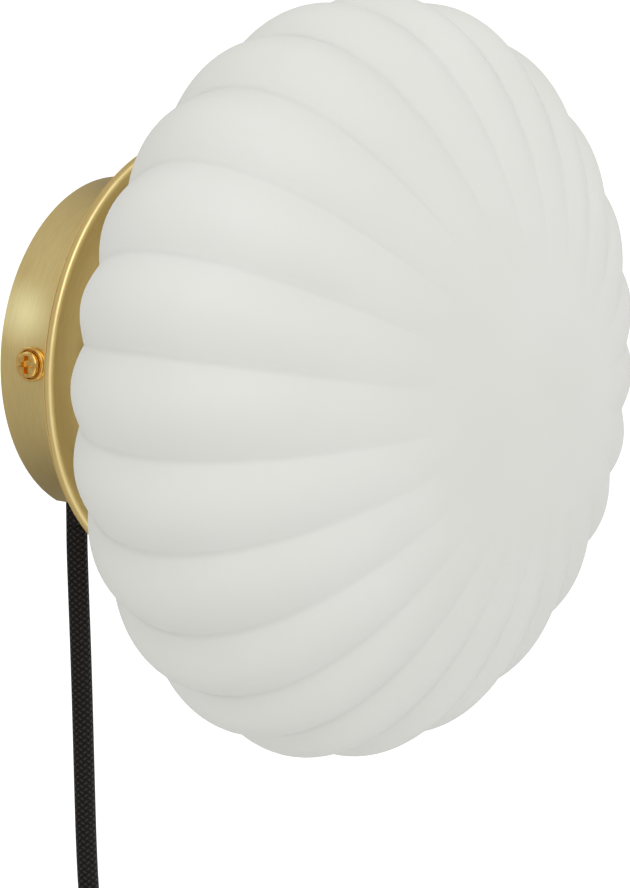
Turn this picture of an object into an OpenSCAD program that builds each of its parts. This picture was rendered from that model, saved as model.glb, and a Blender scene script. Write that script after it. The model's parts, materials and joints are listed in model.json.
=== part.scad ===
// Wall lamp: a ribbed opal glass shade on a brass dish and canopy, with a textile cord.
// +Z is up, the wall is the plane y = 0 and the lamp stands out from it along -Y.
// Pieces on the lamp's axis are drawn with their own +Z pointing out of the wall.

/* [Canopy] */
// Outside diameter of the canopy
canopy_d = 100; // [98:0.5:104]
// How far the canopy stands out from the wall
canopy_depth = 27.5; // [26:0.5:32]
// Sheet thickness of the canopy
canopy_wall = 1.2; // [1:0.1:1.6]
// Distance of the side screws from the wall
side_screw_out = 12; // [10:0.5:13]
// Turn of the side screws about the lamp's axis, left one up, in degrees
side_turn = 3.4; // [0:0.2:6]

/* [Dish] */
// Outside diameter of the dish that the shade stands on
dish_d = 128.6; // [120:0.2:136]
// Thickness of the dish's plate
dish_plate = 1.5; // [1.2:0.1:1.8]
// Depth of the dish's rolled rim
dish_rim_depth = 2.7; // [2.4:0.1:3.2]
// Width of the dish's rolled rim
dish_rim_width = 2.6; // [2.2:0.1:3.4]

/* [Shade] */
// Largest diameter of the shade, over its ribs
shade_d = 219.6; // [212:0.2:226]
// Depth of the shade's bowl, front to back
shade_depth = 122; // [118:0.5:126]
// Number of ribs
rib_count = 24; // [20:1:28]
// Depth of the valleys between the ribs at the widest place
rib_depth = 4.5; // [3:0.1:5.5]
// Turn of the ribs about the lamp's axis, in degrees
rib_turn = -5; // [-7:0.5:7]
// Wall of the glass
glass_wall = 3.5; // [3:0.1:4]
// Outside diameter of the shade's neck
neck_d = 92; // [90:0.5:95]
// Straight length of the shade's neck
neck_length = 6.7; // [5:0.1:8]
// Thickness of the rubber ring under the neck
gasket_t = 1.2; // [1:0.1:1.6]
// Width of the rubber ring
gasket_w = 4.8; // [4:0.1:6]

/* [Gallery] */
// Sheet thickness of the spring gallery
gallery_t = 0.8; // [0.6:0.1:1]
// Width of a leaf spring
leaf_w = 10; // [8:0.5:12]
// Height of a leaf spring above the dish
leaf_height = 14; // [12:0.5:16]
// Number of leaf springs
leaf_count = 3; // [3:1:4]

/* [Nipple] */
// Outside diameter of the hollow threaded nipple
nipple_d = 10; // [10:0.2:11]
// Bore of the nipple
nipple_bore = 7; // [6.6:0.1:7.4]
// Length of the nipple
nipple_length = 18; // [17:0.5:20]
// Width of the lock nut across its flats
nut_af = 14; // [14:0.5:16]
// Thickness of the lock nut
nut_t = 3.4; // [3:0.1:4]
// Diameter of the toothed washer
lock_washer_d = 18; // [17:0.5:20]
// Thickness of the toothed washer
lock_washer_t = 0.8; // [0.6:0.1:1]

/* [Lampholder] */
// Outside diameter of the lampholder
holder_d = 28.4; // [28:0.1:30]
// Length of the lampholder
holder_length = 39.2; // [38:0.2:42]
// Wall of the lampholder's mouldings
holder_wall = 1.8; // [1.6:0.1:2]
// Length of the lampholder's cap
holder_cap_length = 12.2; // [11.6:0.1:13]
// Length of the spigot that the sleeve screws on
holder_spigot = 5; // [4:0.2:6]
// Length of the ceramic insert in front of the spigot
insert_front = 3; // [2.6:0.1:3.6]
// Inside diameter of the brass screw shell
shell_bore = 14.2; // [14.2:0.1:14.8]
// Length of the brass screw shell
shell_length = 16; // [15:0.2:17]
// Sheet thickness of the screw shell
shell_t = 0.4; // [0.3:0.1:0.6]

/* [Bulb] */
// Diameter of the bulb's glass
bulb_d = 45; // [42:0.5:48]
// Overall length of the bulb
bulb_length = 74.5; // [72:0.5:77]
// Diameter of the bulb's screw cap over its thread
bulb_cap_d = 13.6; // [13.4:0.1:13.8]
// Thread pitch of the bulb's cap
bulb_pitch = 2.82; // [2.7:0.01:3]
// Length of the bulb's screw cap
bulb_cap_length = 17; // [16:0.5:18]
// Wall of the bulb's glass
bulb_wall = 0.8; // [0.6:0.1:1]
// Number of light filaments
filament_count = 4; // [2:1:6]

/* [Wall bracket] */
// Play between the bracket's round plate and the canopy's inside
bracket_play = 2.8; // [2:0.1:4]
// Sheet thickness of the bracket
bracket_t = 1.5; // [1.2:0.1:2]
// Width of the bracket's bent tabs
tab_w = 16; // [14:0.5:18]
// How far the tabs reach out from the wall
tab_reach = 18; // [16:0.5:19]
// Distance between the two wall screw slots
slot_spacing = 60; // [58:0.5:62]
// End to end length of a slot
slot_length = 12; // [10:0.5:13]
// Width of a slot
slot_w = 4.5; // [4:0.1:5]
// Diameter of the plate's cable hole
cable_hole_d = 14; // [12:0.5:16]

/* [Side screws] */
// Thread diameter of the side screws
side_screw_d = 4; // [3.5:0.1:4.2]
// Length of the screws under the head
side_screw_length = 9; // [8:0.5:10]
// Head diameter
side_head_d = 7.2; // [7:0.1:7.6]
// Head thickness
side_head_t = 2.2; // [2:0.1:2.6]
// Outside diameter of the cup washers
cup_d = 10.4; // [10:0.1:11.4]
// Height of the cup washers' rim
cup_height = 1.6; // [1.4:0.1:2]
// Thickness of the cup washers' base
cup_base = 0.8; // [0.6:0.1:1]
// Width of the cup washers' rim
cup_rim = 0.9; // [0.7:0.1:1.1]

/* [Connections] */
// Width of the terminal block
block_w = 20; // [19:0.5:22]
// Height of the terminal block
block_h = 18; // [16:0.5:19]
// Depth of the terminal block
block_depth = 13; // [12:0.5:14]
// Height of the terminal block's centre above the lamp's axis
block_up = 26; // [25:0.5:28]
// Distance between the two poles
pole_pitch = 10; // [9:0.5:11]
// Diameter of the insulated wires
wire_d = 2; // [1.8:0.1:2.2]
// Diameter of the small clamping screws
small_screw_d = 3; // [2.8:0.1:3.2]

/* [Cord] */
// Diameter of the textile cord
cord_d = 6.3; // [6:0.1:6.5]
// Distance of the cord's centre from the wall where it leaves the canopy
outlet_out = 5; // [5:0.1:5.5]
// Wall of the rubber bush round the cord
bush_wall = 1; // [0.8:0.1:1.2]
// Length of the cord clamp along the cord
clamp_length = 8; // [7:0.5:9]
// Number of turns in the put-away coil
coil_turns = 7; // [5:2:7]
// Radius of the coil's inmost turn
coil_inner_r = 25.2; // [25.2:0.1:27]
// Distance between neighbouring turns, centre to centre
coil_step = 6.9; // [6.9:0.1:7.2]
// Width of the tie round the coil
tie_w = 10; // [8:0.5:12]
// Thickness of the tie
tie_t = 0.7; // [0.5:0.1:0.8]

/* [Cord switch] */
// Length of the cord switch
switch_l = 62; // [58:0.5:64]
// Width of the cord switch
switch_w = 26; // [25:0.5:28]
// Depth of the cord switch
switch_t = 15; // [14.6:0.1:16]
// Wall of the switch's shells
switch_wall = 1.8; // [1.5:0.1:2]
// Length of the rocker
rocker_l = 17; // [16:0.5:19]
// Width of the rocker
rocker_w = 11; // [10:0.5:12]
// Tilt of the rocker from level, in degrees
rocker_tilt = 7; // [6:0.5:8]

/* [Plug] */
// Width of the plug's body
plug_w = 26; // [25:0.5:28]
// Length of the plug's body
plug_l = 36; // [34:0.5:38]
// Thickness of the plug's body
plug_t = 13.6; // [13:0.1:14.4]
// Distance between the pins
pin_pitch = 18.6; // [18:0.1:19]
// Pin diameter
pin_d = 4; // [3.8:0.1:4.2]
// Pin length
pin_l = 19; // [18:0.5:20]

/* [Hidden] */
$fn = 64;
// Clearance of turned and threaded fits, on the radius
fit = 0.05;
// Gap kept round loose and soft pieces
gap = 0.3;
// Overshoot of cutting tools
over = 1;

// Distances out from the wall along the lamp's axis
front_in = canopy_depth - canopy_wall;
dish_front = canopy_depth + dish_plate;
neck_end = dish_front + gasket_t + gap / 2;
neck_r = neck_d / 2;
neck_bore_r = neck_r - glass_wall;
shade_r = shade_d / 2;
shade_half = shade_depth / 2;
neck_angle = acos(neck_r / shade_r);
shade_mid = neck_end + neck_length + shade_half * sin(neck_angle);
gallery_front = dish_front + gallery_t;
nut_back = front_in - lock_washer_t - nut_t;
nipple_back = nut_back - 3;
nipple_front = nipple_back + nipple_length;
holder_back = gallery_front;
holder_front = holder_back + holder_length;
holder_r = holder_d / 2;
spigot_back = holder_back + holder_cap_length;
spigot_front = spigot_back + holder_spigot;
spigot_r = holder_r - holder_wall;
insert_end = spigot_front + insert_front;
contact_t = 1.3;
bulb_back = insert_end + contact_t + fit;
bulb_front = bulb_back + bulb_length;

// Canopy details
canopy_r = canopy_d / 2;
canopy_inner_r = canopy_r - canopy_wall;
bracket_d = 2 * (canopy_inner_r - bracket_play);
tab_face = sqrt(pow(canopy_inner_r - gap / 2, 2) - pow(tab_w / 2, 2));

// The cord's own place, left of the lowest point of the canopy
cord_x = -21.7;
cord_r = cord_d / 2;
bush_r = cord_r + fit + bush_wall;
bush_lip = 1;
cord_leaves = -canopy_r;
cord_inner_top = cord_leaves + 28;
clamp_z = cord_leaves + 19;
clamp_h = 7.6;
switch_out = 8.2;
coil_back = 4.5;

// Cord switch, hanging on the cord
switch_relief = 20;
switch_top = cord_leaves - 146;
switch_mid = switch_top - switch_l / 2;
switch_end = switch_top - switch_l;
relief_r = cord_r + 1.6;
tail_length = 59.5;

// Free cord from the canopy to the switch, the points chosen by hand
function drop_point(out, down) = [cord_x, -out, cord_leaves - down];
drop_route = [
    drop_point(outlet_out, 0), drop_point(outlet_out, 8), drop_point(5.3, 20),
    drop_point(5.8, 36), drop_point(6.2, 52), drop_point(6.5, 68), drop_point(6.8, 84),
    drop_point(7.1, 97), drop_point(7.6, 109), drop_point(switch_out, 118),
    [cord_x, -switch_out, switch_top + switch_relief]];

// Cord from the switch to the coil
function tail_point(out, down) = [cord_x, -out, switch_end - down];
tail_route = [
    tail_point(switch_out, switch_relief), tail_point(switch_out, switch_relief + 7),
    tail_point(7.3, tail_length * 0.59), tail_point(5.6, tail_length * 0.74),
    tail_point(coil_back, tail_length * 0.89), tail_point(coil_back, tail_length)];

// Coil: one tube that winds in against the wall, climbs and winds out again
coil_half_turns = coil_turns / 2;
coil_outer_r = coil_inner_r + coil_step * coil_half_turns;
coil_x = cord_x + coil_outer_r;
coil_z = switch_end - tail_length - cord_d;
coil_rings = 24;
coil_sides = 6;
coil_front = coil_back + coil_step;

function ease(t) = let(c = min(1, max(0, t))) c * c * (3 - 2 * c);
function coil_radius(turn) = coil_inner_r + coil_step * abs(turn - coil_half_turns);
function coil_depth(turn) = coil_back + coil_step * ease(2 * (turn - coil_half_turns) + 0.5);
function coil_point(turn) =
    let(r = coil_radius(turn), a = 180 + 360 * turn)
    [coil_x + r * cos(a), -coil_depth(turn), coil_z + r * sin(a)];
coil_winding = [for (i = [0 : coil_turns * coil_rings]) coil_point(i / coil_rings)];
coil_route = concat(
    [[cord_x, -coil_back, coil_z + cord_d]],
    coil_winding,
    [[cord_x, -coil_front, coil_z - cord_d]]);
coil_least_gap = min([
    for (i = [0 : len(coil_winding) - 1])
        for (j = [i + coil_rings / 2 : 1 : len(coil_winding) - 1])
            norm(coil_winding[i] - coil_winding[j])]) - cord_d;
echo(coil_least_gap_mm = coil_least_gap);

// Cord from the coil to the plug
plug_top = coil_z - 28;
plug_relief = 22;
plug_shoulder = plug_top - plug_relief;
plug_face = plug_shoulder - plug_l;
end_route = [
    [cord_x, -coil_front, coil_z - cord_d], [cord_x, -coil_front, coil_z - 17],
    [cord_x, -coil_front, plug_top]];

// Wire routes inside the canopy, for the right-hand pole, the points chosen by hand
block_low = block_up - block_h / 2;
block_high = block_up + block_h / 2;
pole_x = pole_pitch / 2;
wire_r = wire_d / 2;
wire_out = bracket_t + 7;
barrel_d = 5;
barrel_bore = 3;
wire_in = 3;
function feed_route(side) = [
    [cord_x + side * 1.4, -outlet_out, cord_inner_top + 4],
    [cord_x + side * 1.5, -outlet_out, cord_inner_top + 8],
    [cord_x + 4 + side * 2.5, -outlet_out - 0.5, -8],
    [cord_x + 10 + side * 3, -outlet_out - 1.5, 0],
    [side * pole_x - 3, -wire_out, 9], [side * pole_x, -wire_out, block_low - 2],
    [side * pole_x, -wire_out, block_low + wire_in]];
function feed_start(side) = [cord_x + side * 1.4, -outlet_out, cord_inner_top];
function lamp_route(side) = [
    [side * pole_x, -wire_out, block_high - wire_in], [side * pole_x, -wire_out, block_high + 2],
    [side * pole_x, -wire_out - 3, block_high + 6], [side * pole_x, -wire_out - 8, block_high + 5],
    [side * 4, -wire_out - 9.5, block_high - 4], [side * 2.5, -wire_out - 9, 14],
    [side * 1.6, -wire_out - 7.5, 5], [side * 1.5, -nipple_back + 1.4, 0.8],
    [side * 1.5, -nipple_back - 3, 0], [side * 1.5, -nipple_front, 0],
    [side * 3, -nipple_front - 2, 0], [side * 4.6, -spigot_back + 0.9, 0],
    [side * 4.6, -spigot_back - 1.6, 0]];

// One smooth curve through the points of a route, with steps between each pair
function bend(p, i, t) =
    let(a = p[max(i - 1, 0)], b = p[i], c = p[i + 1], d = p[min(i + 2, len(p) - 1)])
    0.5 * (2 * b + (c - a) * t + (2 * a - 5 * b + 4 * c - d) * t * t
        + (3 * b - a - 3 * c + d) * t * t * t);
function smooth(p, steps) = concat(
    [for (i = [0 : len(p) - 2]) for (k = [0 : steps - 1]) bend(p, i, k / steps)],
    [p[len(p) - 1]]);
function unit(v) = v / norm(v);
function heading(p, i) = unit(p[min(i + 1, len(p) - 1)] - p[max(i - 1, 0)]);

// Tube along a route: the sides are triangles, and side_on is a way that it never runs
module tube(route, r, sides, side_on) {
    n = len(route);
    points = [
        for (i = [0 : n - 1])
            let(t = heading(route, i), u = unit(cross(t, side_on)), v = cross(t, u))
                for (k = [0 : sides - 1])
                    route[i] + r * (cos(360 * k / sides) * u + sin(360 * k / sides) * v)];
    walls = [
        for (i = [0 : n - 2])
            for (k = [0 : sides - 1])
                let(a = i * sides + k, b = i * sides + (k + 1) % sides)
                    each [[a, a + sides, b], [b, a + sides, b + sides]]];
    ends = [
        for (k = [1 : sides - 2])
            each [[0, k, k + 1], [(n - 1) * sides, (n - 1) * sides + k + 1, (n - 1) * sides + k]]];
    polyhedron(points = points, faces = concat(walls, ends), convexity = 10);
}

// Turns a piece drawn along +Z so that it stands out of the wall
module on_wall() {
    rotate([90, 0, 0]) children();
}

module ring(outer_r, inner_r, h) {
    difference() {
        cylinder(r = outer_r, h = h);
        translate([0, 0, -over]) cylinder(r = inner_r, h = h + 2 * over);
    }
}

// Flat outline with rounded corners, exact at any size
module rounded(w, h, r) {
    square([w - 2 * r, h], center = true);
    square([w, h - 2 * r], center = true);
    for (x = [-1, 1], y = [-1, 1])
        translate([x * (w / 2 - r), y * (h / 2 - r)]) circle(r = r);
}

// Shape of the cord's way through the canopy's wall, open to the wall side
module outlet_way(r) {
    translate([cord_x, 0, outlet_out]) rotate([90, 0, 0]) cylinder(r = r, h = canopy_d);
    translate([cord_x - r, -canopy_d, 0]) cube([2 * r, canopy_d, outlet_out]);
}

module wall_bracket() {
    color("silver") on_wall() difference() {
        union() {
            cylinder(d = bracket_d, h = bracket_t);
            rotate([0, 0, -side_turn]) {
                translate([-tab_face, -tab_w / 2, 0]) cube([2 * tab_face, tab_w, bracket_t]);
                for (s = [-1, 1])
                    translate([s * (tab_face - bracket_t / 2), 0, tab_reach / 2])
                        cube([bracket_t, tab_w, tab_reach], center = true);
            }
        }
        translate([0, 0, -over]) cylinder(d = cable_hole_d, h = bracket_t + 2 * over);
        for (s = [-1, 1]) {
            wall_slot(s * slot_spacing / 2);
            rotate([0, 0, -side_turn])
                translate([s * (tab_face + over), 0, side_screw_out]) rotate([0, -90 * s, 0])
                    cylinder(r = side_screw_d / 2 + fit, h = bracket_t + 2 * over);
        }
        for (p = [[0, block_up], [clamp_screw_x(), clamp_z]])
            translate([p[0], p[1], -over])
                cylinder(r = small_screw_d / 2 + fit, h = bracket_t + 2 * over);
    }
}

module wall_slot(x) {
    travel = (slot_length - slot_w) / 2;
    translate([x, 0, -over]) {
        for (s = [-1, 1])
            translate([s * travel, 0, 0]) cylinder(d = slot_w, h = bracket_t + 2 * over);
        translate([-travel, -slot_w / 2, 0]) cube([2 * travel, slot_w, bracket_t + 2 * over]);
    }
}

module canopy_drum() {
    color("darkkhaki") on_wall() difference() {
        cylinder(r = canopy_r, h = canopy_depth, $fn = 128);
        translate([0, 0, -over]) cylinder(r = canopy_inner_r, h = front_in + over, $fn = 128);
        translate([0, 0, front_in - over]) cylinder(r = nipple_d / 2 + fit, h = canopy_wall + 2 * over);
        for (s = [-1, 1])
            rotate([0, 0, -side_turn])
                translate([s * (canopy_r + over), 0, side_screw_out]) rotate([0, -90 * s, 0])
                    cylinder(r = side_screw_d / 2 + 3 * fit, h = canopy_wall + 3 * over);
        translate([0, 0, -over]) outlet_way(bush_r);
        outlet_way(bush_r);
    }
}

module shade_dish() {
    dish_r = dish_d / 2;
    corner = dish_rim_depth * 0.4;
    color("tan") on_wall() rotate_extrude($fn = 128) {
        translate([nipple_d / 2 + fit, canopy_depth])
            square([dish_r - dish_rim_width / 2 - nipple_d / 2 - fit, dish_plate]);
        translate([dish_r - dish_rim_width / 2, canopy_depth + dish_rim_depth / 2])
            rounded(dish_rim_width, dish_rim_depth, corner);
    }
}

module neck_gasket() {
    color("dimgray") on_wall() translate([0, 0, dish_front])
        ring(neck_r + gap + (gasket_w - glass_wall) / 2, neck_r + gap - (gasket_w + glass_wall) / 2, gasket_t);
}

// The glass is an ellipsoid with round ribs that fade out towards its front and its neck
rib_steps = 4;
shade_columns = rib_count * rib_steps;
outer_angles = [84, 75, 65, 54, 42, 30, 18, 6, -6, -18, -30, -42, -54];
inner_angles = [78, 58, 38, 18, -2, -22, -42];
function rib_fade(share) = ease((share - 0.25) / 0.6);
function rib_cut(column) = 1 - abs(cos(180 * column / rib_steps));
function outer_ring(angle) =
    let(share = cos(angle), cut = rib_depth * rib_fade(share))
    [for (c = [0 : shade_columns - 1])
        let(a = 360 * c / shade_columns, r = shade_r * share - cut * rib_cut(c))
        [r * cos(a), r * sin(a), shade_mid + shade_half * sin(angle)]];
function plain_ring(r, out) = [
    for (c = [0 : shade_columns - 1])
        let(a = 360 * c / shade_columns) [r * cos(a), r * sin(a), out]];
inner_r = shade_r - rib_depth - glass_wall;
inner_half = shade_half - glass_wall;
inner_neck_angle = acos(neck_bore_r / inner_r);
function inner_ring(angle) =
    plain_ring(inner_r * cos(angle), shade_mid + inner_half * sin(angle));

module glass_shade() {
    rings = concat(
        [for (a = outer_angles) outer_ring(a)],
        [plain_ring(neck_r, neck_end + neck_length), plain_ring(neck_r, neck_end),
         plain_ring(neck_bore_r, neck_end),
         plain_ring(neck_bore_r, shade_mid - inner_half * sin(inner_neck_angle))],
        [for (i = [len(inner_angles) - 1 : -1 : 0]) inner_ring(inner_angles[i])]);
    n = len(rings);
    poles = [[0, 0, shade_mid + shade_half], [0, 0, shade_mid + inner_half]];
    m = shade_columns;
    front = n * m;
    walls = [
        for (i = [0 : n - 2])
            for (k = [0 : m - 1])
                let(a = i * m + k, b = i * m + (k + 1) % m)
                    each [[a, b, a + m], [b, b + m, a + m]]];
    caps = [
        for (k = [0 : m - 1])
            each [[front, (k + 1) % m, k], [front + 1, (n - 1) * m + k, (n - 1) * m + (k + 1) % m]]];
    color("white") on_wall() rotate([0, 0, rib_turn])
        polyhedron(points = concat([for (r = rings) each r], poles),
            faces = concat(walls, caps), convexity = 6);
}

// Side screw and cup washer, drawn with +Z pointing out of the canopy's side
module on_side(s) {
    rotate([0, side_turn, 0])
        translate([s * canopy_r, -side_screw_out, 0]) rotate([0, 90 * s, 0]) children();
}

module side_screw(s) {
    slot_t = 1;
    cross_t = 1.2;
    color("goldenrod") on_side(s) translate([0, 0, fit + cup_base]) difference() {
        union() {
            cylinder(d = side_head_d, h = side_head_t);
            translate([0, 0, -side_screw_length]) cylinder(d = side_screw_d, h = side_screw_length + over);
        }
        translate([0, 0, side_head_t - slot_t / 2])
            cube([slot_t, side_head_d * 0.86, slot_t + over / 2], center = true);
        for (a = [0, 90])
            rotate([0, 0, a]) translate([0, 0, side_head_t - cross_t / 2])
                cube([cross_t, side_head_d * 0.58, cross_t + over / 2], center = true);
    }
}

module side_screw_left() { side_screw(-1); }
module side_screw_right() { side_screw(1); }

module cup_washer(s) {
    color("goldenrod") on_side(s) translate([0, 0, fit / 2]) difference() {
        cylinder(d = cup_d, h = cup_height);
        translate([0, 0, cup_base]) cylinder(r = cup_d / 2 - cup_rim, h = cup_height);
        translate([0, 0, -over]) cylinder(r = side_screw_d / 2 + fit, h = cup_height + 2 * over);
    }
}

module cup_washer_left() { cup_washer(-1); }
module cup_washer_right() { cup_washer(1); }

// Spring gallery: a disc on the nipple with leaf springs that grip the neck from inside
module spring_gallery() {
    leaf_r = sqrt(pow(neck_bore_r - gap, 2) - pow(leaf_w / 2, 2));
    root_r = leaf_r - 5.4;
    tip_r = leaf_r - 3;
    t = gallery_t;
    color("silver") on_wall() translate([0, 0, dish_front]) {
        ring(root_r + t / 2, nipple_d / 2 + fit, t);
        for (i = [0 : leaf_count - 1])
            rotate([0, 0, 90 + 360 * i / leaf_count]) rotate([90, 0, 0])
                translate([0, 0, -leaf_w / 2]) linear_extrude(leaf_w) polygon([
                    [root_r - 2, 0], [root_r + t, 0], [leaf_r, leaf_height * 0.55],
                    [tip_r + t, leaf_height], [tip_r, leaf_height],
                    [leaf_r - t, leaf_height * 0.55], [root_r, t], [root_r - 2, t]]);
    }
}

module hollow_nipple() {
    color("darkkhaki") on_wall() translate([0, 0, nipple_back])
        ring(nipple_d / 2, nipple_bore / 2, nipple_length);
}

module lock_nut() {
    color("silver") on_wall() translate([0, 0, nut_back]) difference() {
        cylinder(d = nut_af / cos(30), h = nut_t, $fn = 6);
        translate([0, 0, -over]) cylinder(r = nipple_d / 2 + fit, h = nut_t + 2 * over);
    }
}

module toothed_washer() {
    teeth = 10;
    tooth = 1.6;
    color("gainsboro") on_wall() translate([0, 0, front_in - lock_washer_t]) difference() {
        cylinder(d = lock_washer_d, h = lock_washer_t);
        translate([0, 0, -over]) cylinder(r = nipple_d / 2 + fit, h = lock_washer_t + 2 * over);
        for (i = [0 : teeth - 1])
            rotate([0, 0, 360 * i / teeth]) translate([lock_washer_d / 2, 0, 0])
                cube([2 * tooth, tooth, 4 * lock_washer_t], center = true);
    }
}

module holder_cap() {
    entry_r = nipple_d / 2 + 3.4;
    inner_r = spigot_r - holder_wall;
    floor_out = nipple_front + fit;
    color("whitesmoke") on_wall() rotate_extrude() polygon([
        [nipple_d / 2 + fit, holder_back], [entry_r, holder_back], [entry_r, holder_back + 3],
        [holder_r - 0.4, holder_back + 8.4], [holder_r - 0.4, spigot_back],
        [spigot_r - fit, spigot_back], [spigot_r - fit, spigot_front],
        [inner_r, spigot_front], [inner_r, floor_out + 1], [inner_r - 3, floor_out],
        [nipple_d / 2 + fit, floor_out]]);
}

module holder_sleeve() {
    lip = 1.5;
    lip_r = shell_bore / 2 + 2.4;
    color("whitesmoke") on_wall() rotate_extrude() polygon([
        [spigot_r, spigot_back], [holder_r, spigot_back], [holder_r, holder_front - lip],
        [holder_r - lip, holder_front], [lip_r, holder_front], [lip_r, holder_front - lip],
        [spigot_r, holder_front - lip - 1]]);
}

module holder_insert() {
    body_r = spigot_r - holder_wall - 2 * fit;
    rivet_r = 2.2;
    color("ivory") on_wall() difference() {
        union() {
            translate([0, 0, spigot_back]) cylinder(r = body_r, h = insert_end - spigot_back);
            translate([0, 0, spigot_front]) cylinder(r = spigot_r - 2 * fit, h = insert_front);
        }
        for (s = [-1, 1])
            translate([s * 4.6, 0, spigot_back - over])
                cylinder(r = wire_r + 2 * fit, h = over + 4);
        translate([0, 0, spigot_back - over]) cylinder(r = rivet_r, h = over + 1.5);
    }
}

module screw_shell() {
    color("gold") on_wall() translate([0, 0, insert_end]) difference() {
        cylinder(r = shell_bore / 2 + shell_t, h = shell_length);
        translate([0, 0, shell_t]) cylinder(r = shell_bore / 2, h = shell_length);
        translate([0, 0, -over]) cylinder(r = shell_bore / 2 - 2.6, h = 2 * over);
    }
}

module centre_contact() {
    tongue_w = 3.6;
    color("gold") on_wall() translate([0, 0, insert_end]) {
        translate([-tongue_w / 2, -4, 0]) cube([tongue_w, 6, contact_t / 2]);
        cylinder(r = 1.7, h = contact_t);
    }
}

// The bulb's pieces along its axis, from its tip contact to its round front
tip_h = 1;
cone_h = 3.6;
cap_back = bulb_back + tip_h + cone_h;
cap_front = cap_back + bulb_cap_length;
bulb_neck_r = bulb_cap_d / 2 + 1.6;
ball_mid = bulb_front - bulb_d / 2;
stem_top = ball_mid - 10;

module bulb_contact() {
    color("silver") on_wall() translate([0, 0, bulb_back]) cylinder(r1 = 1.4, r2 = 1.8, h = tip_h);
}

module bulb_insulator() {
    color("black") on_wall() translate([0, 0, bulb_back + tip_h])
        cylinder(r1 = 2.4, r2 = bulb_cap_d / 2 - 0.8, h = cone_h);
}

module bulb_cap() {
    crest = bulb_cap_d / 2;
    root = crest - 0.5;
    turns = floor((bulb_cap_length - 3) / bulb_pitch);
    thread = [
        for (i = [0 : 2 * turns])
            [i % 2 == 0 ? root : crest, cap_back + 0.8 + i * bulb_pitch / 2]];
    color("gainsboro") on_wall() rotate_extrude() polygon(concat(
        [[0, cap_back], [root, cap_back]], thread,
        [[root, cap_front - 2.4], [bulb_neck_r, cap_front], [0, cap_front]]));
}

module bulb_glass() {
    color("aliceblue") on_wall() rotate_extrude() difference() {
        union() {
            intersection() {
                translate([0, ball_mid]) circle(d = bulb_d);
                translate([0, ball_mid - bulb_d]) square([bulb_d, 2 * bulb_d]);
            }
            polygon([
                [0, cap_front], [bulb_neck_r, cap_front], [bulb_neck_r + 1, cap_front + 6],
                [bulb_d / 2 * sin(50), ball_mid - bulb_d / 2 * cos(50)], [0, ball_mid]]);
        }
        translate([0, ball_mid]) circle(r = bulb_d / 2 - bulb_wall);
        polygon([
            [-over, cap_front - over], [bulb_neck_r - bulb_wall, cap_front - over],
            [bulb_neck_r + 1 - bulb_wall, cap_front + 6],
            [(bulb_d / 2 - bulb_wall) * sin(50), ball_mid - (bulb_d / 2 - bulb_wall) * cos(50)],
            [-over, ball_mid]]);
    }
}

module bulb_stem() {
    stem_r = 3;
    color("lightgray") on_wall() rotate_extrude() polygon([
        [0, cap_front], [bulb_neck_r - bulb_wall - 2 * fit, cap_front],
        [stem_r, cap_front + 5], [stem_r, stem_top - 1], [stem_r - 1, stem_top], [0, stem_top]]);
}

module bulb_filaments() {
    filament_r = 0.9;
    circle_r = 6;
    length = 22;
    hub_t = 0.6;
    hub_r = circle_r + filament_r + 0.6;
    color("orange") on_wall() translate([0, 0, stem_top]) {
        cylinder(r = hub_r, h = hub_t);
        translate([0, 0, length]) cylinder(r = hub_r, h = hub_t);
        for (i = [0 : filament_count - 1])
            rotate([0, 0, 45 + 360 * i / filament_count]) translate([circle_r, 0, hub_t / 2])
                cylinder(r = filament_r, h = length);
    }
}

module terminal_block() {
    color("beige") on_wall() translate([0, block_up, bracket_t]) difference() {
        translate([-block_w / 2, -block_h / 2, 0]) cube([block_w, block_h, block_depth]);
        for (s = [-1, 1]) {
            translate([s * pole_x, block_h, wire_out - bracket_t]) rotate([90, 0, 0])
                cylinder(r = barrel_d / 2 + fit, h = 2 * block_h);
            for (u = [-1, 1])
                translate([s * pole_x, u * block_h / 4, wire_out - bracket_t])
                    cylinder(r = small_screw_d / 2 + 2 * fit, h = block_depth);
        }
        translate([0, 0, -over]) cylinder(r = small_screw_d / 2 + 2 * fit, h = block_depth + 2 * over);
        translate([0, 0, block_depth - 3]) cylinder(r = small_screw_d / 2 + 1.1, h = 3 + over);
    }
}

module terminal_barrels() {
    color("gold") on_wall() for (s = [-1, 1])
        translate([s * pole_x, block_up, wire_out]) difference() {
            rotate([90, 0, 0]) cylinder(d = barrel_d, h = block_h - 2, center = true);
            rotate([90, 0, 0]) cylinder(d = barrel_bore, h = block_h, center = true);
            for (u = [-1, 1])
                translate([0, u * block_h / 4, 0]) cylinder(r = small_screw_d / 2 + fit, h = barrel_d);
        }
}

module terminal_screws() {
    tip_out = wire_out + wire_r + fit;
    length = bracket_t + block_depth - tip_out - 0.6;
    color("silver") on_wall() for (s = [-1, 1], u = [-1, 1])
        translate([s * pole_x, block_up + u * block_h / 4, tip_out]) difference() {
            cylinder(d = small_screw_d, h = length);
            translate([0, 0, length]) cube([small_screw_d * 1.2, 0.7, 1.4], center = true);
        }
}

module headed_screw(under_head, head_h) {
    difference() {
        union() {
            cylinder(d = small_screw_d, h = under_head);
            translate([0, 0, under_head]) cylinder(r = small_screw_d / 2 + 1, h = head_h);
        }
        for (a = [0, 90])
            rotate([0, 0, a]) translate([0, 0, under_head + head_h])
                cube([small_screw_d, 0.7, 1.4], center = true);
    }
}

module block_screw() {
    color("silver") on_wall() translate([0, block_up, 0]) headed_screw(bracket_t + block_depth - 3, 2);
}

module pair_wires(side, shade_of) {
    color(shade_of) {
        tube(concat([feed_start(side)], smooth(feed_route(side), 3)), wire_r, 8, [1, 0, 0]);
        tube(smooth(lamp_route(side), 2), wire_r, 8, [1, 0, 0]);
    }
}

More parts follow.
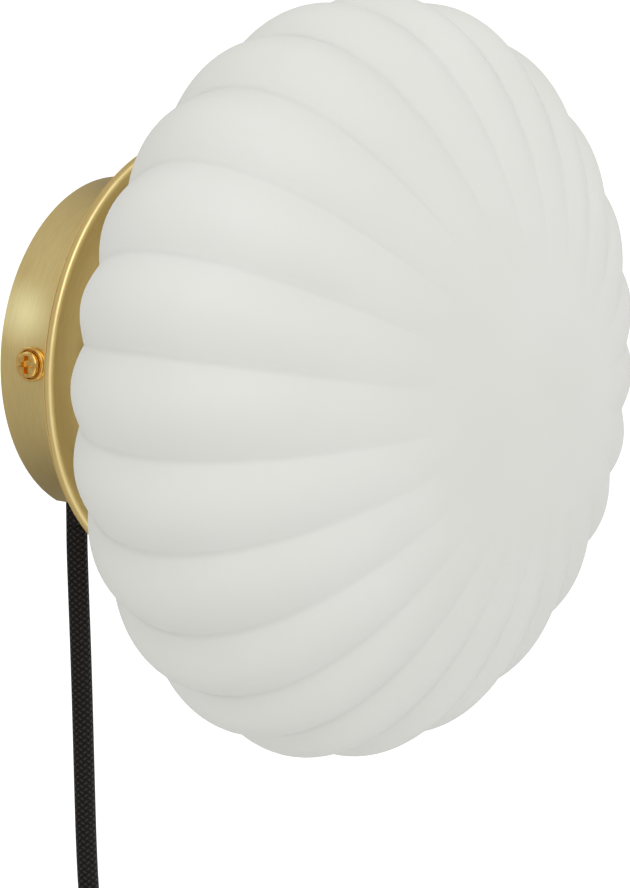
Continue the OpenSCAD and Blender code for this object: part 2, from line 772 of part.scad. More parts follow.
module live_wire() { pair_wires(1, "saddlebrown"); }
module neutral_wire() { pair_wires(-1, "steelblue"); }

function clamp_screw_x() = cord_x + cord_r + 4;

module cord_clamp() {
    left = cord_x - cord_r - 1.8;
    right = clamp_screw_x() + 3.6;
    color("ivory") on_wall() difference() {
        translate([left, clamp_z - clamp_length / 2, bracket_t])
            cube([right - left, clamp_length, clamp_h]);
        translate([cord_x, clamp_z + clamp_length, outlet_out]) rotate([90, 0, 0])
            cylinder(r = cord_r + fit, h = 2 * clamp_length);
        translate([clamp_screw_x(), clamp_z, 0])
            cylinder(r = small_screw_d / 2 + 2 * fit, h = bracket_t + clamp_h + over);
        translate([clamp_screw_x() - 3, clamp_z - clamp_length, bracket_t + clamp_h - 3])
            cube([clamp_length, 2 * clamp_length, 3 + over]);
    }
}

module clamp_screw() {
    color("silver") on_wall() translate([clamp_screw_x(), clamp_z, 0])
        headed_screw(bracket_t + clamp_h - 3, 2);
}

module cord_bush() {
    color("black") on_wall() difference() {
        union() {
            intersection() {
                outlet_way(bush_r - fit);
                ring(canopy_r, canopy_inner_r - bush_lip, canopy_depth / 2, $fn = 128);
            }
            intersection() {
                outlet_way(bush_r + bush_lip);
                ring(canopy_inner_r - fit, canopy_inner_r - bush_lip, canopy_depth / 2, $fn = 128);
            }
        }
        translate([cord_x, over, outlet_out]) rotate([90, 0, 0])
            cylinder(r = cord_r + fit, h = canopy_d);
    }
}

module cord_inner() {
    color("#231f1c") translate([cord_x, -outlet_out, cord_leaves])
        cylinder(r = cord_r, h = cord_inner_top - cord_leaves);
}

module cord_drop() {
    color("#231f1c") tube(drop_route, cord_r, 12, [0, 1, 0]);
}

module cord_tail() {
    color("#231f1c") tube(tail_route, cord_r, 12, [0, 1, 0]);
}

module cord_coil() {
    color("#231f1c") tube(coil_route, cord_r, coil_sides, [0, 1, 0]);
}

module cord_end() {
    color("#231f1c") tube(end_route, cord_r, 12, [0, 1, 0]);
}

// Band round both layers of the coil at its top
module coil_tie() {
    low = coil_inner_r - cord_r - 2 * gap - 0.5;
    high = coil_outer_r + cord_r + gap;
    back = coil_back - cord_r - gap;
    front = coil_front + cord_r + gap;
    color("#1c1c1c") translate([coil_x, 0, coil_z]) rotate([90, 0, 90])
        translate([0, 0, -tie_w / 2]) linear_extrude(tie_w)
            translate([-(back + front) / 2, (low + high) / 2]) difference() {
                rounded(front - back + 2 * tie_t, high - low + 2 * tie_t, 2);
                rounded(front - back, high - low, 2 - tie_t);
            }
}

// Cord switch, drawn flat with +Z out of the wall and its length along Y
split_out = switch_out;
switch_back = switch_out - switch_t / 2;
switch_face = switch_out + switch_t / 2;
pivot_out = switch_face - 4.6;
corner_r = 8;
switch_screw_up = switch_l / 2 - 9;

module at_switch() {
    on_wall() translate([0, switch_mid, 0]) translate([cord_x, 0, 0]) children();
}

module switch_half(from, to) {
    translate([0, 0, from]) linear_extrude(to - from) rounded(switch_w, switch_l, corner_r);
}

module switch_hollow(from, to) {
    translate([0, 0, from]) linear_extrude(to - from)
        rounded(switch_w - 2 * switch_wall, switch_l - 2 * switch_wall, corner_r - switch_wall);
}

module switch_base() {
    color("#262626") at_switch() difference() {
        union() {
            difference() {
                switch_half(switch_back, split_out);
                switch_hollow(switch_back + switch_wall, split_out + over);
            }
            for (s = [-1, 1])
                translate([0, s * switch_screw_up, switch_back]) cylinder(r = 3.4, h = split_out - switch_back);
        }
        for (s = [-1, 1]) translate([0, s * switch_screw_up, switch_back]) {
            translate([0, 0, -over]) cylinder(r = small_screw_d / 2 + 2 * fit, h = switch_t);
            translate([0, 0, -over]) cylinder(r = small_screw_d / 2 + 1.1, h = 2.4 + over);
        }
    }
}

module switch_cover() {
    color("#262626") at_switch() difference() {
        union() {
            difference() {
                switch_half(split_out, switch_face);
                switch_hollow(split_out - over, switch_face - switch_wall);
            }
            for (s = [-1, 1]) {
                translate([0, s * switch_screw_up, split_out]) cylinder(r = 3.4, h = switch_t / 2 - 0.6);
                translate([s * (rocker_w / 2 + 1.5), 0, pivot_out + 1])
                    cube([2, 6, 2 * (switch_face - pivot_out - 1.6)], center = true);
            }
        }
        translate([0, 0, switch_face])
            cube([rocker_w + 2 * gap, rocker_l + 2.6, 4 * switch_wall], center = true);
        translate([-rocker_w, 0, pivot_out]) rotate([0, 90, 0])
            cylinder(r = 1 + fit, h = 2 * rocker_w);
        for (s = [-1, 1])
            translate([0, s * switch_screw_up, split_out - over])
                cylinder(r = small_screw_d / 2 + fit, h = 5 + over);
    }
}

// The rocker is stored pressed in at its upper end
module switch_rocker() {
    half = rocker_l / 2;
    top = switch_face - pivot_out;
    color("#2e2e2e") at_switch() translate([0, 0, pivot_out]) rotate([-rocker_tilt, 0, 0])
        rotate([90, 0, 90]) translate([0, 0, -rocker_w / 2]) difference() {
            linear_extrude(rocker_w) polygon([
                [-half, 0.4], [-half * 0.5, -2.2], [half * 0.5, -2.2], [half, 0.4],
                [half, top], [half * 0.5, top - 0.8], [0, top - 1], [-half * 0.5, top - 0.8],
                [-half, top]]);
            translate([0, 0, -over]) cylinder(r = 1 + fit, h = rocker_w + 2 * over);
        }
}

module switch_pin() {
    color("silver") at_switch() translate([-rocker_w / 2 - 2.4, 0, pivot_out]) rotate([0, 90, 0])
        cylinder(r = 1, h = rocker_w + 4.8);
}

module switch_terminals() {
    size = [9, 7, 3.4];
    color("gold") at_switch() for (s = [-1, 1])
        translate([-size[0] / 2, s * 13 - size[1] / 2, switch_back + switch_wall]) difference() {
            cube(size);
            translate([size[0] / 2, size[1] / 2, size[2] / 2]) cylinder(d = 2.4, h = size[2]);
        }
}

module switch_screws() {
    under = split_out - switch_back - 2.4 + 4;
    color("silver") at_switch() for (s = [-1, 1])
        translate([0, s * switch_screw_up, split_out + 4]) rotate([180, 0, 0]) headed_screw(under, 2);
}

// Tapered sleeves where the cord enters the switch
module switch_reliefs() {
    color("#1c1c1c") for (s = [-1, 1])
        translate([cord_x, -switch_out, switch_mid + s * switch_l / 2]) rotate([90 - 90 * s, 0, 0])
            cylinder(r1 = relief_r, r2 = cord_r + 0.5, h = switch_relief);
}

module plug_body() {
    half = plug_w / 2;
    color("#262626") translate([cord_x, -coil_front + plug_t / 2, plug_face]) rotate([90, 0, 0])
        difference() {
            linear_extrude(plug_t) polygon([
                [-half + 1.5, 0], [half - 1.5, 0], [half, 1.5], [half, 10], [half * 0.86, 19],
                [half * 0.56, plug_l - 6], [half * 0.5, plug_l - 1], [half * 0.46, plug_l],
                [-half * 0.46, plug_l], [-half * 0.5, plug_l - 1], [-half * 0.56, plug_l - 6],
                [-half * 0.86, 19], [-half, 10], [-half, 1.5]]);
            for (s = [-1, 1])
                translate([s * pin_pitch / 2, pin_root, plug_t / 2]) rotate([90, 0, 0])
                    cylinder(r = core_r + fit, h = pin_root + over);
        }
}

module plug_relief() {
    color("#1c1c1c") translate([cord_x, -coil_front, plug_shoulder])
        cylinder(r1 = relief_r + 0.7, r2 = cord_r + 0.5, h = plug_relief);
}

module at_pins() {
    for (s = [-1, 1])
        translate([cord_x + s * pin_pitch / 2, -coil_front, plug_face]) rotate([180, 0, 0]) children();
}

// The pins have a thinner core under a sleeve for their first part, outside the body
pin_root = 6;
sleeved = 10;
core_r = pin_d / 2 - 0.6;

module plug_pins() {
    color("silver") at_pins() {
        translate([0, 0, -pin_root]) cylinder(r = core_r, h = pin_root + sleeved + fit);
        translate([0, 0, sleeved]) cylinder(d = pin_d, h = pin_l - sleeved - 1);
        translate([0, 0, pin_l - 1]) cylinder(d1 = pin_d, d2 = pin_d - 1.4, h = 1);
    }
}

module plug_pin_sleeves() {
    color("#262626") at_pins() ring(pin_d / 2, core_r + fit / 2, sleeved);
}

wall_bracket();
canopy_drum();
shade_dish();
neck_gasket();
glass_shade();
side_screw_left();
side_screw_right();
cup_washer_left();
cup_washer_right();
spring_gallery();
hollow_nipple();
lock_nut();
toothed_washer();
holder_cap();
holder_sleeve();
holder_insert();
screw_shell();
centre_contact();
bulb_contact();
bulb_insulator();
bulb_cap();
bulb_glass();
bulb_stem();
bulb_filaments();
terminal_block();
terminal_barrels();
terminal_screws();
block_screw();
live_wire();
neutral_wire();
cord_clamp();
clamp_screw();
cord_bush();
cord_inner();
cord_drop();
switch_base();
switch_cover();
switch_rocker();
switch_pin();
switch_terminals();
switch_screws();
switch_reliefs();
cord_tail();
cord_coil();
coil_tie();
cord_end();
plug_body();
plug_relief();
plug_pins();
plug_pin_sleeves();
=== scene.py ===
import bpy
import bmesh
import json
import math
from mathutils import Matrix, Vector

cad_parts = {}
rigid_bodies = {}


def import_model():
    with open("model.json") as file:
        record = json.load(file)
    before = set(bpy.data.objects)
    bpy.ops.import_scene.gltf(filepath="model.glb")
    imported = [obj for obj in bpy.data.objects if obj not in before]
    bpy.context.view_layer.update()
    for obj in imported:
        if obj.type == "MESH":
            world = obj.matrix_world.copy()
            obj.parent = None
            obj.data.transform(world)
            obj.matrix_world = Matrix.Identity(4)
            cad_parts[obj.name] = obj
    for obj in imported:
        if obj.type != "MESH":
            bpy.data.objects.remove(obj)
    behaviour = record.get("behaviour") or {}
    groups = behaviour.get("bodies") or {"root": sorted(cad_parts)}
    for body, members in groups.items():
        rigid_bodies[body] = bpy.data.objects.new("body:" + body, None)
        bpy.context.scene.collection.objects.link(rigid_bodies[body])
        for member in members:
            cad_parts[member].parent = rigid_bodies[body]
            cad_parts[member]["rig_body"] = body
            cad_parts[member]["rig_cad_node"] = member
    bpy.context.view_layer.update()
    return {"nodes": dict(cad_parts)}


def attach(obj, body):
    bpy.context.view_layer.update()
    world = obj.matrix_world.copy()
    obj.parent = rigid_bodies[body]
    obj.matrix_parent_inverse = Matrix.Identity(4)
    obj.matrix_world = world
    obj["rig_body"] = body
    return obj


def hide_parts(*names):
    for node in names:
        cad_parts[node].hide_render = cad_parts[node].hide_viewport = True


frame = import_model()
nodes = frame["nodes"]
mm = 0.001
onWall = Matrix.Rotation(math.pi / 2, 4, "X")   # turns a piece drawn along +Z to stand out of the wall


def clearSelection():
    bpy.ops.object.select_all(action="DESELECT")


def activate(piece):
    clearSelection()
    piece.select_set(True)
    bpy.context.view_layer.objects.active = piece


def renamed(name):
    piece = bpy.context.object
    piece.name = name
    piece.data.name = name
    return piece


def place(piece, matrix):
    activate(piece)
    piece.matrix_world = matrix
    bpy.ops.object.transform_apply(location=True, rotation=True, scale=True)
    return piece


def applied(piece, kind, **settings):
    # adds a modifier with its settings and applies it
    activate(piece)
    step = piece.modifiers.new(kind.title(), kind)
    for key, value in settings.items():
        setattr(step, key, value)
    bpy.ops.object.modifier_apply(modifier=step.name)
    return piece


def bevelled(piece, width, segments=3, angle=40):
    return applied(piece, "BEVEL", width=width * mm, segments=segments, limit_method="ANGLE",
                   angle_limit=math.radians(angle), harden_normals=False)


def smoothed(piece, angle=35, weighted=False):
    activate(piece)
    bpy.ops.object.shade_smooth_by_angle(angle=math.radians(angle))
    if weighted:
        applied(piece, "WEIGHTED_NORMAL", keep_sharp=True)
    return piece


def turned(name, profile, steps=96, closed=True):
    # a profile of (radius, height) in mm, drawn point by point and spun about Z
    clearSelection()
    bpy.ops.mesh.primitive_plane_add(size=mm)
    bpy.ops.object.mode_set(mode="EDIT")
    bpy.ops.mesh.select_mode(type="VERT")
    bpy.ops.mesh.select_all(action="SELECT")
    bpy.ops.mesh.merge(type="CENTER")
    points = [Vector((r * mm, 0, h * mm)) for r, h in profile]
    bpy.ops.transform.translate(value=points[0])
    for here, there in zip(points, points[1:] + points[:1] if closed else points[1:]):
        bpy.ops.mesh.extrude_region_move(TRANSFORM_OT_translate={"value": there - here})
    bpy.ops.mesh.select_all(action="SELECT")
    bpy.ops.mesh.remove_doubles(threshold=1e-7)
    bpy.ops.mesh.select_all(action="SELECT")
    bpy.ops.mesh.spin(steps=steps, angle=math.tau, center=(0, 0, 0), axis=(0, 0, 1))
    bpy.ops.mesh.select_all(action="SELECT")
    bpy.ops.mesh.remove_doubles(threshold=1e-6)
    bpy.ops.mesh.delete_loose()
    bpy.ops.mesh.select_all(action="SELECT")
    bpy.ops.mesh.normals_make_consistent(inside=False)
    bpy.ops.object.mode_set(mode="OBJECT")
    return renamed(name)


def rounded(corners, radius, steps=5):
    # rounds the corners of a profile; radius is one number or one for each corner
    radii = radius if isinstance(radius, list) else [radius] * len(corners)
    made = []
    for i, (corner, r) in enumerate(zip(corners, radii)):
        here = Vector(corner)
        if r == 0:
            made.append(tuple(here))
            continue
        before = (Vector(corners[i - 1]) - here).normalized()
        after = (Vector(corners[(i + 1) % len(corners)]) - here).normalized()
        half = before.angle(after) / 2
        reach = r / math.tan(half)
        middle = here + (before + after).normalized() * (r / math.sin(half))
        start = here + before * reach - middle
        turn = (here + after * reach - middle).angle_signed(start)
        for k in range(steps + 1):
            made.append(tuple(middle + Matrix.Rotation(turn * k / steps, 2) @ start))
    return made


def cutAway(piece, cutter):
    # a boolean cut, after which the cutter is deleted
    applied(piece, "BOOLEAN", operation="DIFFERENCE", solver="EXACT", object=cutter)
    bpy.data.objects.remove(cutter)
    return piece


def cylinderCutter(radius, low, high, sides=48):
    clearSelection()
    bpy.ops.mesh.primitive_cylinder_add(
        vertices=sides, radius=radius * mm, depth=(high - low) * mm,
        location=(0, 0, (low + high) / 2 * mm))
    cutter = renamed("cutter")
    return place(cutter, cutter.matrix_world.copy())


def boxCutter(size, centre):
    clearSelection()
    bpy.ops.mesh.primitive_cube_add(size=1, location=Vector(centre) * mm, scale=Vector(size) * mm)
    cutter = renamed("cutter")
    return place(cutter, cutter.matrix_world.copy())


def joined(name, parts):
    clearSelection()
    for part in parts:
        part.select_set(True)
    bpy.context.view_layer.objects.active = parts[0]
    bpy.ops.object.join()
    return renamed(name)


def sweepTube(name, route, radius, sides, repeatLength):
    # a round tube along a route in metres, with UV u round it and v along it
    points = [Vector(p) for p in route]
    count = len(points)
    mesh = bpy.data.meshes.new(name)
    shape = bmesh.new()
    uv = shape.loops.layers.uv.new("UVMap")
    rings, distance, along = [], [], 0.0
    side = None
    for i, here in enumerate(points):
        way = (points[min(i + 1, count - 1)] - points[max(i - 1, 0)]).normalized()
        if side is None:
            side = Vector((0, 1, 0)).cross(way).normalized()
        side = (side - way * side.dot(way)).normalized()
        across = way.cross(side)
        if i:
            along += (here - points[i - 1]).length
        distance.append(along / repeatLength)
        rings.append([shape.verts.new(here + radius * (
            side * math.cos(math.tau * k / sides) + across * math.sin(math.tau * k / sides)))
            for k in range(sides)])
    for i in range(count - 1):
        for k in range(sides):
            n = (k + 1) % sides
            face = shape.faces.new((rings[i][k], rings[i][n], rings[i + 1][n], rings[i + 1][k]))
            face.smooth = True
            for loop, u, v in zip(face.loops, (k, k + 1, k + 1, k), (i, i, i + 1, i + 1)):
                loop[uv].uv = (u / sides, distance[v])
    shape.faces.new(rings[0][::-1])
    shape.faces.new(rings[-1])
    shape.to_mesh(mesh)
    shape.free()
    piece = bpy.data.objects.new(name, mesh)
    bpy.context.scene.collection.objects.link(piece)
    return piece


def smoothRoute(points, steps):
    # the same curve through listed points as in the part's source
    def bend(i, t):
        a, b = Vector(points[max(i - 1, 0)]), Vector(points[i])
        c, d = Vector(points[i + 1]), Vector(points[min(i + 2, len(points) - 1)])
        return 0.5 * (2 * b + (c - a) * t + (2 * a - 5 * b + 4 * c - d) * t ** 2
                      + (3 * b - a - 3 * c + d) * t ** 3)
    made = [bend(i, k / steps) for i in range(len(points) - 1) for k in range(steps)]
    return made + [Vector(points[-1])]


def softened(name, node, width, segments=2, angle=30, weighted=True):
    # a merged copy of a CAD node with its edges rounded
    piece = nodes[node].copy()
    piece.data = nodes[node].data.copy()
    bpy.context.scene.collection.objects.link(piece)
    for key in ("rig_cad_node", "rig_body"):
        del piece[key]
    piece.parent = None
    piece.name = name
    piece.data.name = name
    activate(piece)
    bpy.ops.object.mode_set(mode="EDIT")
    bpy.ops.mesh.select_all(action="SELECT")
    if piece.data.has_custom_normals:
        bpy.ops.mesh.customdata_custom_splitnormals_clear()
    bpy.ops.mesh.remove_doubles(threshold=1e-6)
    bpy.ops.mesh.dissolve_limited(angle_limit=math.radians(0.6))
    bpy.ops.object.mode_set(mode="OBJECT")
    if width:
        bevelled(piece, width, segments, angle)
    return smoothed(piece, 35, weighted)


def finished(piece, body, slot, material, *stoodFor):
    # gives the piece its material, hides what it stands for and lets it ride
    piece.data.materials.clear()
    piece.data.materials.append(material)
    if stoodFor:
        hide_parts(*stoodFor)
    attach(piece, body)
    return piece


def hexColour(code):
    # sRGB hex to the linear values that Blender's sockets take
    parts = [int(code[i:i + 2], 16) / 255 for i in (1, 3, 5)]
    return [c / 12.92 if c <= 0.04045 else ((c + 0.055) / 1.055) ** 2.4 for c in parts] + [1]


def addNode(tree, kind, settings=None, links=None):
    # one node, with its properties or socket values and with links from other sockets
    node = tree.nodes.new("ShaderNode" + kind)
    for key, value in (settings or {}).items():
        if isinstance(key, str) and hasattr(node, key):
            setattr(node, key, value)
        else:
            node.inputs[key].default_value = value
    for key, source in (links or {}).items():
        tree.links.new(source, node.inputs[key])
    return node


def newMaterial(name, look):
    # a material whose Principled shader is already set from one dictionary
    material = bpy.data.materials.new(name)
    material.use_nodes = True
    tree = material.node_tree
    shader = tree.nodes["Principled BSDF"]
    for key, value in look.items():
        shader.inputs[key].default_value = value
    return material, tree, shader


def colourRamp(tree, source, stops):
    ramp = addNode(tree, "ValToRGB", links={0: source})
    elements = ramp.color_ramp.elements
    while len(elements) < len(stops):
        elements.new(0.5)
    for element, (position, code) in zip(elements, stops):
        element.position = position
        element.color = hexColour(code)
    return ramp.outputs["Color"]


def objectPoint(tree):
    return addNode(tree, "TexCoord").outputs["Object"]


def mapped(tree, scale, source=None):
    return addNode(tree, "Mapping", {"Scale": scale},
                   {"Vector": source or objectPoint(tree)}).outputs["Vector"]


def noise(tree, vector, detail=2.0, scale=1.0, roughness=0.5):
    return addNode(tree, "TexNoise", {"Scale": scale, "Detail": detail, "Roughness": roughness},
                   {"Vector": vector}).outputs["Fac"]


def mapRange(tree, source, low, high, fromLow=0.3, fromHigh=0.7):
    return addNode(tree, "MapRange", {"From Min": fromLow, "From Max": fromHigh, "To Min": low,
                                      "To Max": high}, {"Value": source}).outputs["Result"]


def mathNode(tree, operation, first, second=None):
    node = addNode(tree, "Math", {"operation": operation})
    for k, value in enumerate((first, second)):
        if value is None:
            continue
        if isinstance(value, (int, float)):
            node.inputs[k].default_value = value
        else:
            tree.links.new(value, node.inputs[k])
    return node.outputs["Value"]


def bump(tree, shader, height, distance, strength=1.0):
    node = addNode(tree, "Bump", {"Distance": distance * mm, "Strength": strength}, {"Height": height})
    tree.links.new(node.outputs["Normal"], shader.inputs["Normal"])


def spunPoint(tree, around, across):
    # coordinates on a turned piece: slow round the lamp's axis and quick across it, no seam
    split = addNode(tree, "SeparateXYZ", links={0: objectPoint(tree)})
    x, y, z = (split.outputs[k] for k in ("X", "Y", "Z"))
    square = mathNode(tree, "ADD", mathNode(tree, "MULTIPLY", x, x), mathNode(tree, "MULTIPLY", z, z))
    radius = mathNode(tree, "MAXIMUM", mathNode(tree, "SQRT", square), 0.0001)
    cosine = mathNode(tree, "DIVIDE", x, radius)
    sine = mathNode(tree, "DIVIDE", z, radius)
    lines = mathNode(tree, "MULTIPLY", mathNode(tree, "SUBTRACT", radius, y), across)
    point = addNode(tree, "CombineXYZ", links={
        "X": mathNode(tree, "MULTIPLY", cosine, around), "Y": lines,
        "Z": mathNode(tree, "MULTIPLY", sine, around)}).outputs["Vector"]
    tangent = addNode(tree, "CombineXYZ", links={
        "X": mathNode(tree, "MULTIPLY", sine, -1.0), "Z": cosine}).outputs["Vector"]
    return point, tangent


# Satin brass, spun and brushed, lacquered: fine lines round the axis, a soft streaked highlight
satinBrassLook = {"light": "#FAE3A0", "dark": "#F2D895", "roughness": 0.34, "least": 0.30, "most": 0.40,
                  "around": 9.0, "across": 2600.0, "relief": 0.006}
satinBrass, tree, shader = newMaterial("satinBrass", {
    "Metallic": 1.0, "Roughness": satinBrassLook["roughness"], "Anisotropic": 0.55})
brushPoint, brushTangent = spunPoint(tree, satinBrassLook["around"], satinBrassLook["across"])
brushLines = noise(tree, brushPoint, 3.0)
brushColour = colourRamp(tree, brushLines, [(0.3, satinBrassLook["dark"]), (0.7, satinBrassLook["light"])])
tree.links.new(brushColour, shader.inputs["Base Color"])
tree.links.new(mapRange(tree, brushLines, satinBrassLook["least"], satinBrassLook["most"]),
               shader.inputs["Roughness"])
tree.links.new(brushTangent, shader.inputs["Tangent"])
bump(tree, shader, brushLines, satinBrassLook["relief"], 0.5)

# Polished brass screws: yellow, mirror-like, with faint soft waviness of a rolled surface
polishedBrassLook = {"light": "#F6CF7E", "dark": "#E9BA64", "wave": 900.0, "roughness": 0.12,
                     "least": 0.10, "most": 0.18, "relief": 0.004}
polishedBrass, tree, shader = newMaterial("polishedBrass", {
    "Metallic": 1.0, "Roughness": polishedBrassLook["roughness"]})
wave = noise(tree, mapped(tree, [polishedBrassLook["wave"]] * 3), 1.0)
waveColour = colourRamp(tree, wave, [(0.35, polishedBrassLook["dark"]), (0.65, polishedBrassLook["light"])])
tree.links.new(waveColour, shader.inputs["Base Color"])
tree.links.new(mapRange(tree, wave, polishedBrassLook["least"], polishedBrassLook["most"]),
               shader.inputs["Roughness"])
bump(tree, shader, wave, polishedBrassLook["relief"], 0.3)

# Opal glass, acid etched: white through and through, soft satin gloss, faint clouding
opalLook = {"light": "#DFDFDA", "dark": "#DADAD4", "cloud": 16.0, "etch": 2600.0, "roughness": 0.52,
            "least": 0.48, "most": 0.58, "relief": 0.006}
opalGlass, tree, shader = newMaterial("etchedOpalGlass", {
    "Roughness": opalLook["roughness"], "IOR": 1.5, "Subsurface Weight": 0.35, "Subsurface Scale": 0.006})
shader.inputs["Subsurface Radius"].default_value = (1.0, 0.96, 0.9)
cloud = noise(tree, mapped(tree, [opalLook["cloud"]] * 3), 2.0)
tree.links.new(colourRamp(tree, cloud, [(0.3, opalLook["dark"]), (0.7, opalLook["light"])]),
               shader.inputs["Base Color"])
etch = noise(tree, mapped(tree, [opalLook["etch"]] * 3), 2.0)
tree.links.new(mapRange(tree, etch, opalLook["least"], opalLook["most"]), shader.inputs["Roughness"])
bump(tree, shader, etch, opalLook["relief"], 0.4)


def braidedTextile(name, look):
    # Braided textile over the cable: diamonds of yarn that run both ways round, matt, hardly a sheen; the
    # colour is painted shade in the hollows between yarns and painted highlight on their crowns
    made, tree, shader = newMaterial(name, {"Roughness": 0.6, "Specular IOR Level": 0.18,
                                            "Sheen Weight": 0.02, "Sheen Roughness": 0.4})
    spot = addNode(tree, "SeparateXYZ", links={0: addNode(tree, "TexCoord").outputs["UV"]})
    around = mathNode(tree, "MULTIPLY", spot.outputs["X"], look["strands"])
    along = mathNode(tree, "MULTIPLY", spot.outputs["Y"], look["crossings"])
    first = mathNode(tree, "ADD", around, along)
    second = mathNode(tree, "SUBTRACT", around, along)
    ridges = [mathNode(tree, "SINE", mathNode(tree, "MULTIPLY", mathNode(tree, "FRACT", way), math.pi))
              for way in (first, second)]
    cells = mathNode(tree, "ADD", mathNode(tree, "FLOOR", first), mathNode(tree, "FLOOR", second))
    over = mathNode(tree, "PINGPONG", cells, 1.0)
    yarn, crown = (addNode(tree, "Mix", {"data_type": "FLOAT"},
                           {0: over, 2: ridges[k], 3: ridges[1 - k]}).outputs[0] for k in (0, 1))
    height = mathNode(tree, "MULTIPLY", mathNode(tree, "POWER", yarn, 1.1),
                      mathNode(tree, "ADD", mathNode(tree, "MULTIPLY", crown, 0.3), 0.7))
    # painted shade and painted highlight: deep colour in the yarn hollows, crown colour on the yarn tops
    stops = [(0.1, look["deep"]), (0.85, look["face"]), (1.0, look["crown"])]
    tree.links.new(colourRamp(tree, height, stops), shader.inputs["Base Color"])
    tree.links.new(mapRange(tree, height, 0.75, 0.42, 0.2, 1.0), shader.inputs["Roughness"])
    bump(tree, shader, height, look["depth"], 1.0)
    return made


# deep is painted shade in the hollows, crown a painted highlight on the yarn tops
braidLook = {"strands": 8.0, "crossings": 10.4, "depth": 0.35,
             "deep": "#080707", "face": "#1F1B19", "crown": "#3B3633"}
blackBraid = braidedTextile("blackBraid", braidLook)


def mouldedPlastic(name, look):
    # Injection moulded plastic: even colour, a fine spark-eroded grain and a dull gloss
    made, tree, shader = newMaterial(name, {"Roughness": look["roughness"], "IOR": 1.5})
    grain = noise(tree, mapped(tree, [look["grain"]] * 3), 2.0)
    tree.links.new(colourRamp(tree, grain, [(0.3, look["dark"]), (0.7, look["light"])]),
                   shader.inputs["Base Color"])
    tree.links.new(mapRange(tree, grain, look["roughness"] - 0.05, look["roughness"] + 0.08),
                   shader.inputs["Roughness"])
    bump(tree, shader, grain, look["relief"], 0.5)
    return made


blackPlastic = mouldedPlastic("blackPolycarbonate", {
    "light": "#2B2B2B", "dark": "#232323", "roughness": 0.45, "grain": 2200.0, "relief": 0.02})
blackRubber = mouldedPlastic("blackSoftPvc", {
    "light": "#1D1D1D", "dark": "#171717", "roughness": 0.62, "grain": 1500.0, "relief": 0.03})
greyRubber = mouldedPlastic("greySilicone", {
    "light": "#6A6A67", "dark": "#5E5E5B", "roughness": 0.6, "grain": 1200.0, "relief": 0.02})
whiteMoulding = mouldedPlastic("whiteUreaMoulding", {
    "light": "#EFEDE6", "dark": "#E9E6DD", "roughness": 0.28, "grain": 400.0, "relief": 0.01})
steatite = mouldedPlastic("steatiteCeramic", {
    "light": "#EBE4D3", "dark": "#DFD6C2", "roughness": 0.7, "grain": 2600.0, "relief": 0.04})
ivoryNylon = mouldedPlastic("ivoryNylon", {
    "light": "#E6E0CC", "dark": "#DDD6BF", "roughness": 0.42, "grain": 900.0, "relief": 0.015})
brownInsulation = mouldedPlastic("brownWireInsulation", {
    "light": "#7A4A2C", "dark": "#6A3E22", "roughness": 0.4, "grain": 1200.0, "relief": 0.01})
blueInsulation = mouldedPlastic("blueWireInsulation", {
    "light": "#3E78B4", "dark": "#33689F", "roughness": 0.4, "grain": 1200.0, "relief": 0.01})
blackGlass = mouldedPlastic("blackVitrite", {
    "light": "#15151A", "dark": "#0E0E12", "roughness": 0.12, "grain": 500.0, "relief": 0.01})
phosphor = mouldedPlastic("yellowPhosphor", {
    "light": "#F0C25A", "dark": "#E3AE43", "roughness": 0.7, "grain": 3000.0, "relief": 0.05})


def platedMetal(name, look):
    # Plated or stamped metal: a faint cloudy colour and streaks of rolling under a dull gloss
    made, tree, shader = newMaterial(name, {"Metallic": 1.0, "Roughness": look["roughness"]})
    streak = noise(tree, mapped(tree, look["grain"]), 3.0)
    tree.links.new(colourRamp(tree, streak, [(0.3, look["dark"]), (0.7, look["light"])]),
                   shader.inputs["Base Color"])
    tree.links.new(mapRange(tree, streak, look["roughness"] - 0.06, look["roughness"] + 0.1),
                   shader.inputs["Roughness"])
    bump(tree, shader, streak, 0.01, 0.4)
    return made


zincSteel = platedMetal("zincPlatedSteel", {
    "light": "#C9CCCE", "dark": "#AEB2B6", "roughness": 0.34, "grain": [300.0, 300.0, 90.0]})
springSteel = platedMetal("nickelledSpringSteel", {
    "light": "#BDBCB9", "dark": "#A3A29F", "roughness": 0.26, "grain": [900.0, 120.0, 900.0]})
nickelPlate = platedMetal("nickelPlate", {
    "light": "#D2D1CC", "dark": "#BDBCB7", "roughness": 0.2, "grain": [400.0, 400.0, 400.0]})
contactBrass = platedMetal("stampedBrass", {
    "light": "#D9BC76", "dark": "#C2A05A", "roughness": 0.3, "grain": [500.0, 200.0, 500.0]})

# Clear soda-lime glass of the bulb and its stem: thin, colourless, faint waviness
clearGlass, tree, shader = newMaterial("clearBulbGlass", {
    "Roughness": 0.02, "IOR": 1.45, "Transmission Weight": 1.0})
ripple = noise(tree, mapped(tree, [60.0] * 3), 1.0)
tree.links.new(colourRamp(tree, ripple, [(0.3, "#F6F9F8"), (0.7, "#FDFEFE")]),
               shader.inputs["Base Color"])
bump(tree, shader, ripple, 0.05, 0.3)
print("materials made")


# Camera, as the photograph was taken
cameraView = {"place": (-0.9564, -0.7494, 0.2253), "way": (0.8, 0.5634, -0.2063), "lens": 167.81}
bpy.ops.object.camera_add(location=cameraView["place"])
camera = bpy.context.object
camera.name = "camera"
camera.rotation_euler = Vector(cameraView["way"]).to_track_quat("-Z", "Y").to_euler()
camera.data.lens = cameraView["lens"]
camera.data.sensor_width = 36
camera.data.clip_start = 0.05
camera.data.clip_end = 60
bpy.context.scene.camera = camera
bpy.context.scene.view_settings.view_transform = "Standard"


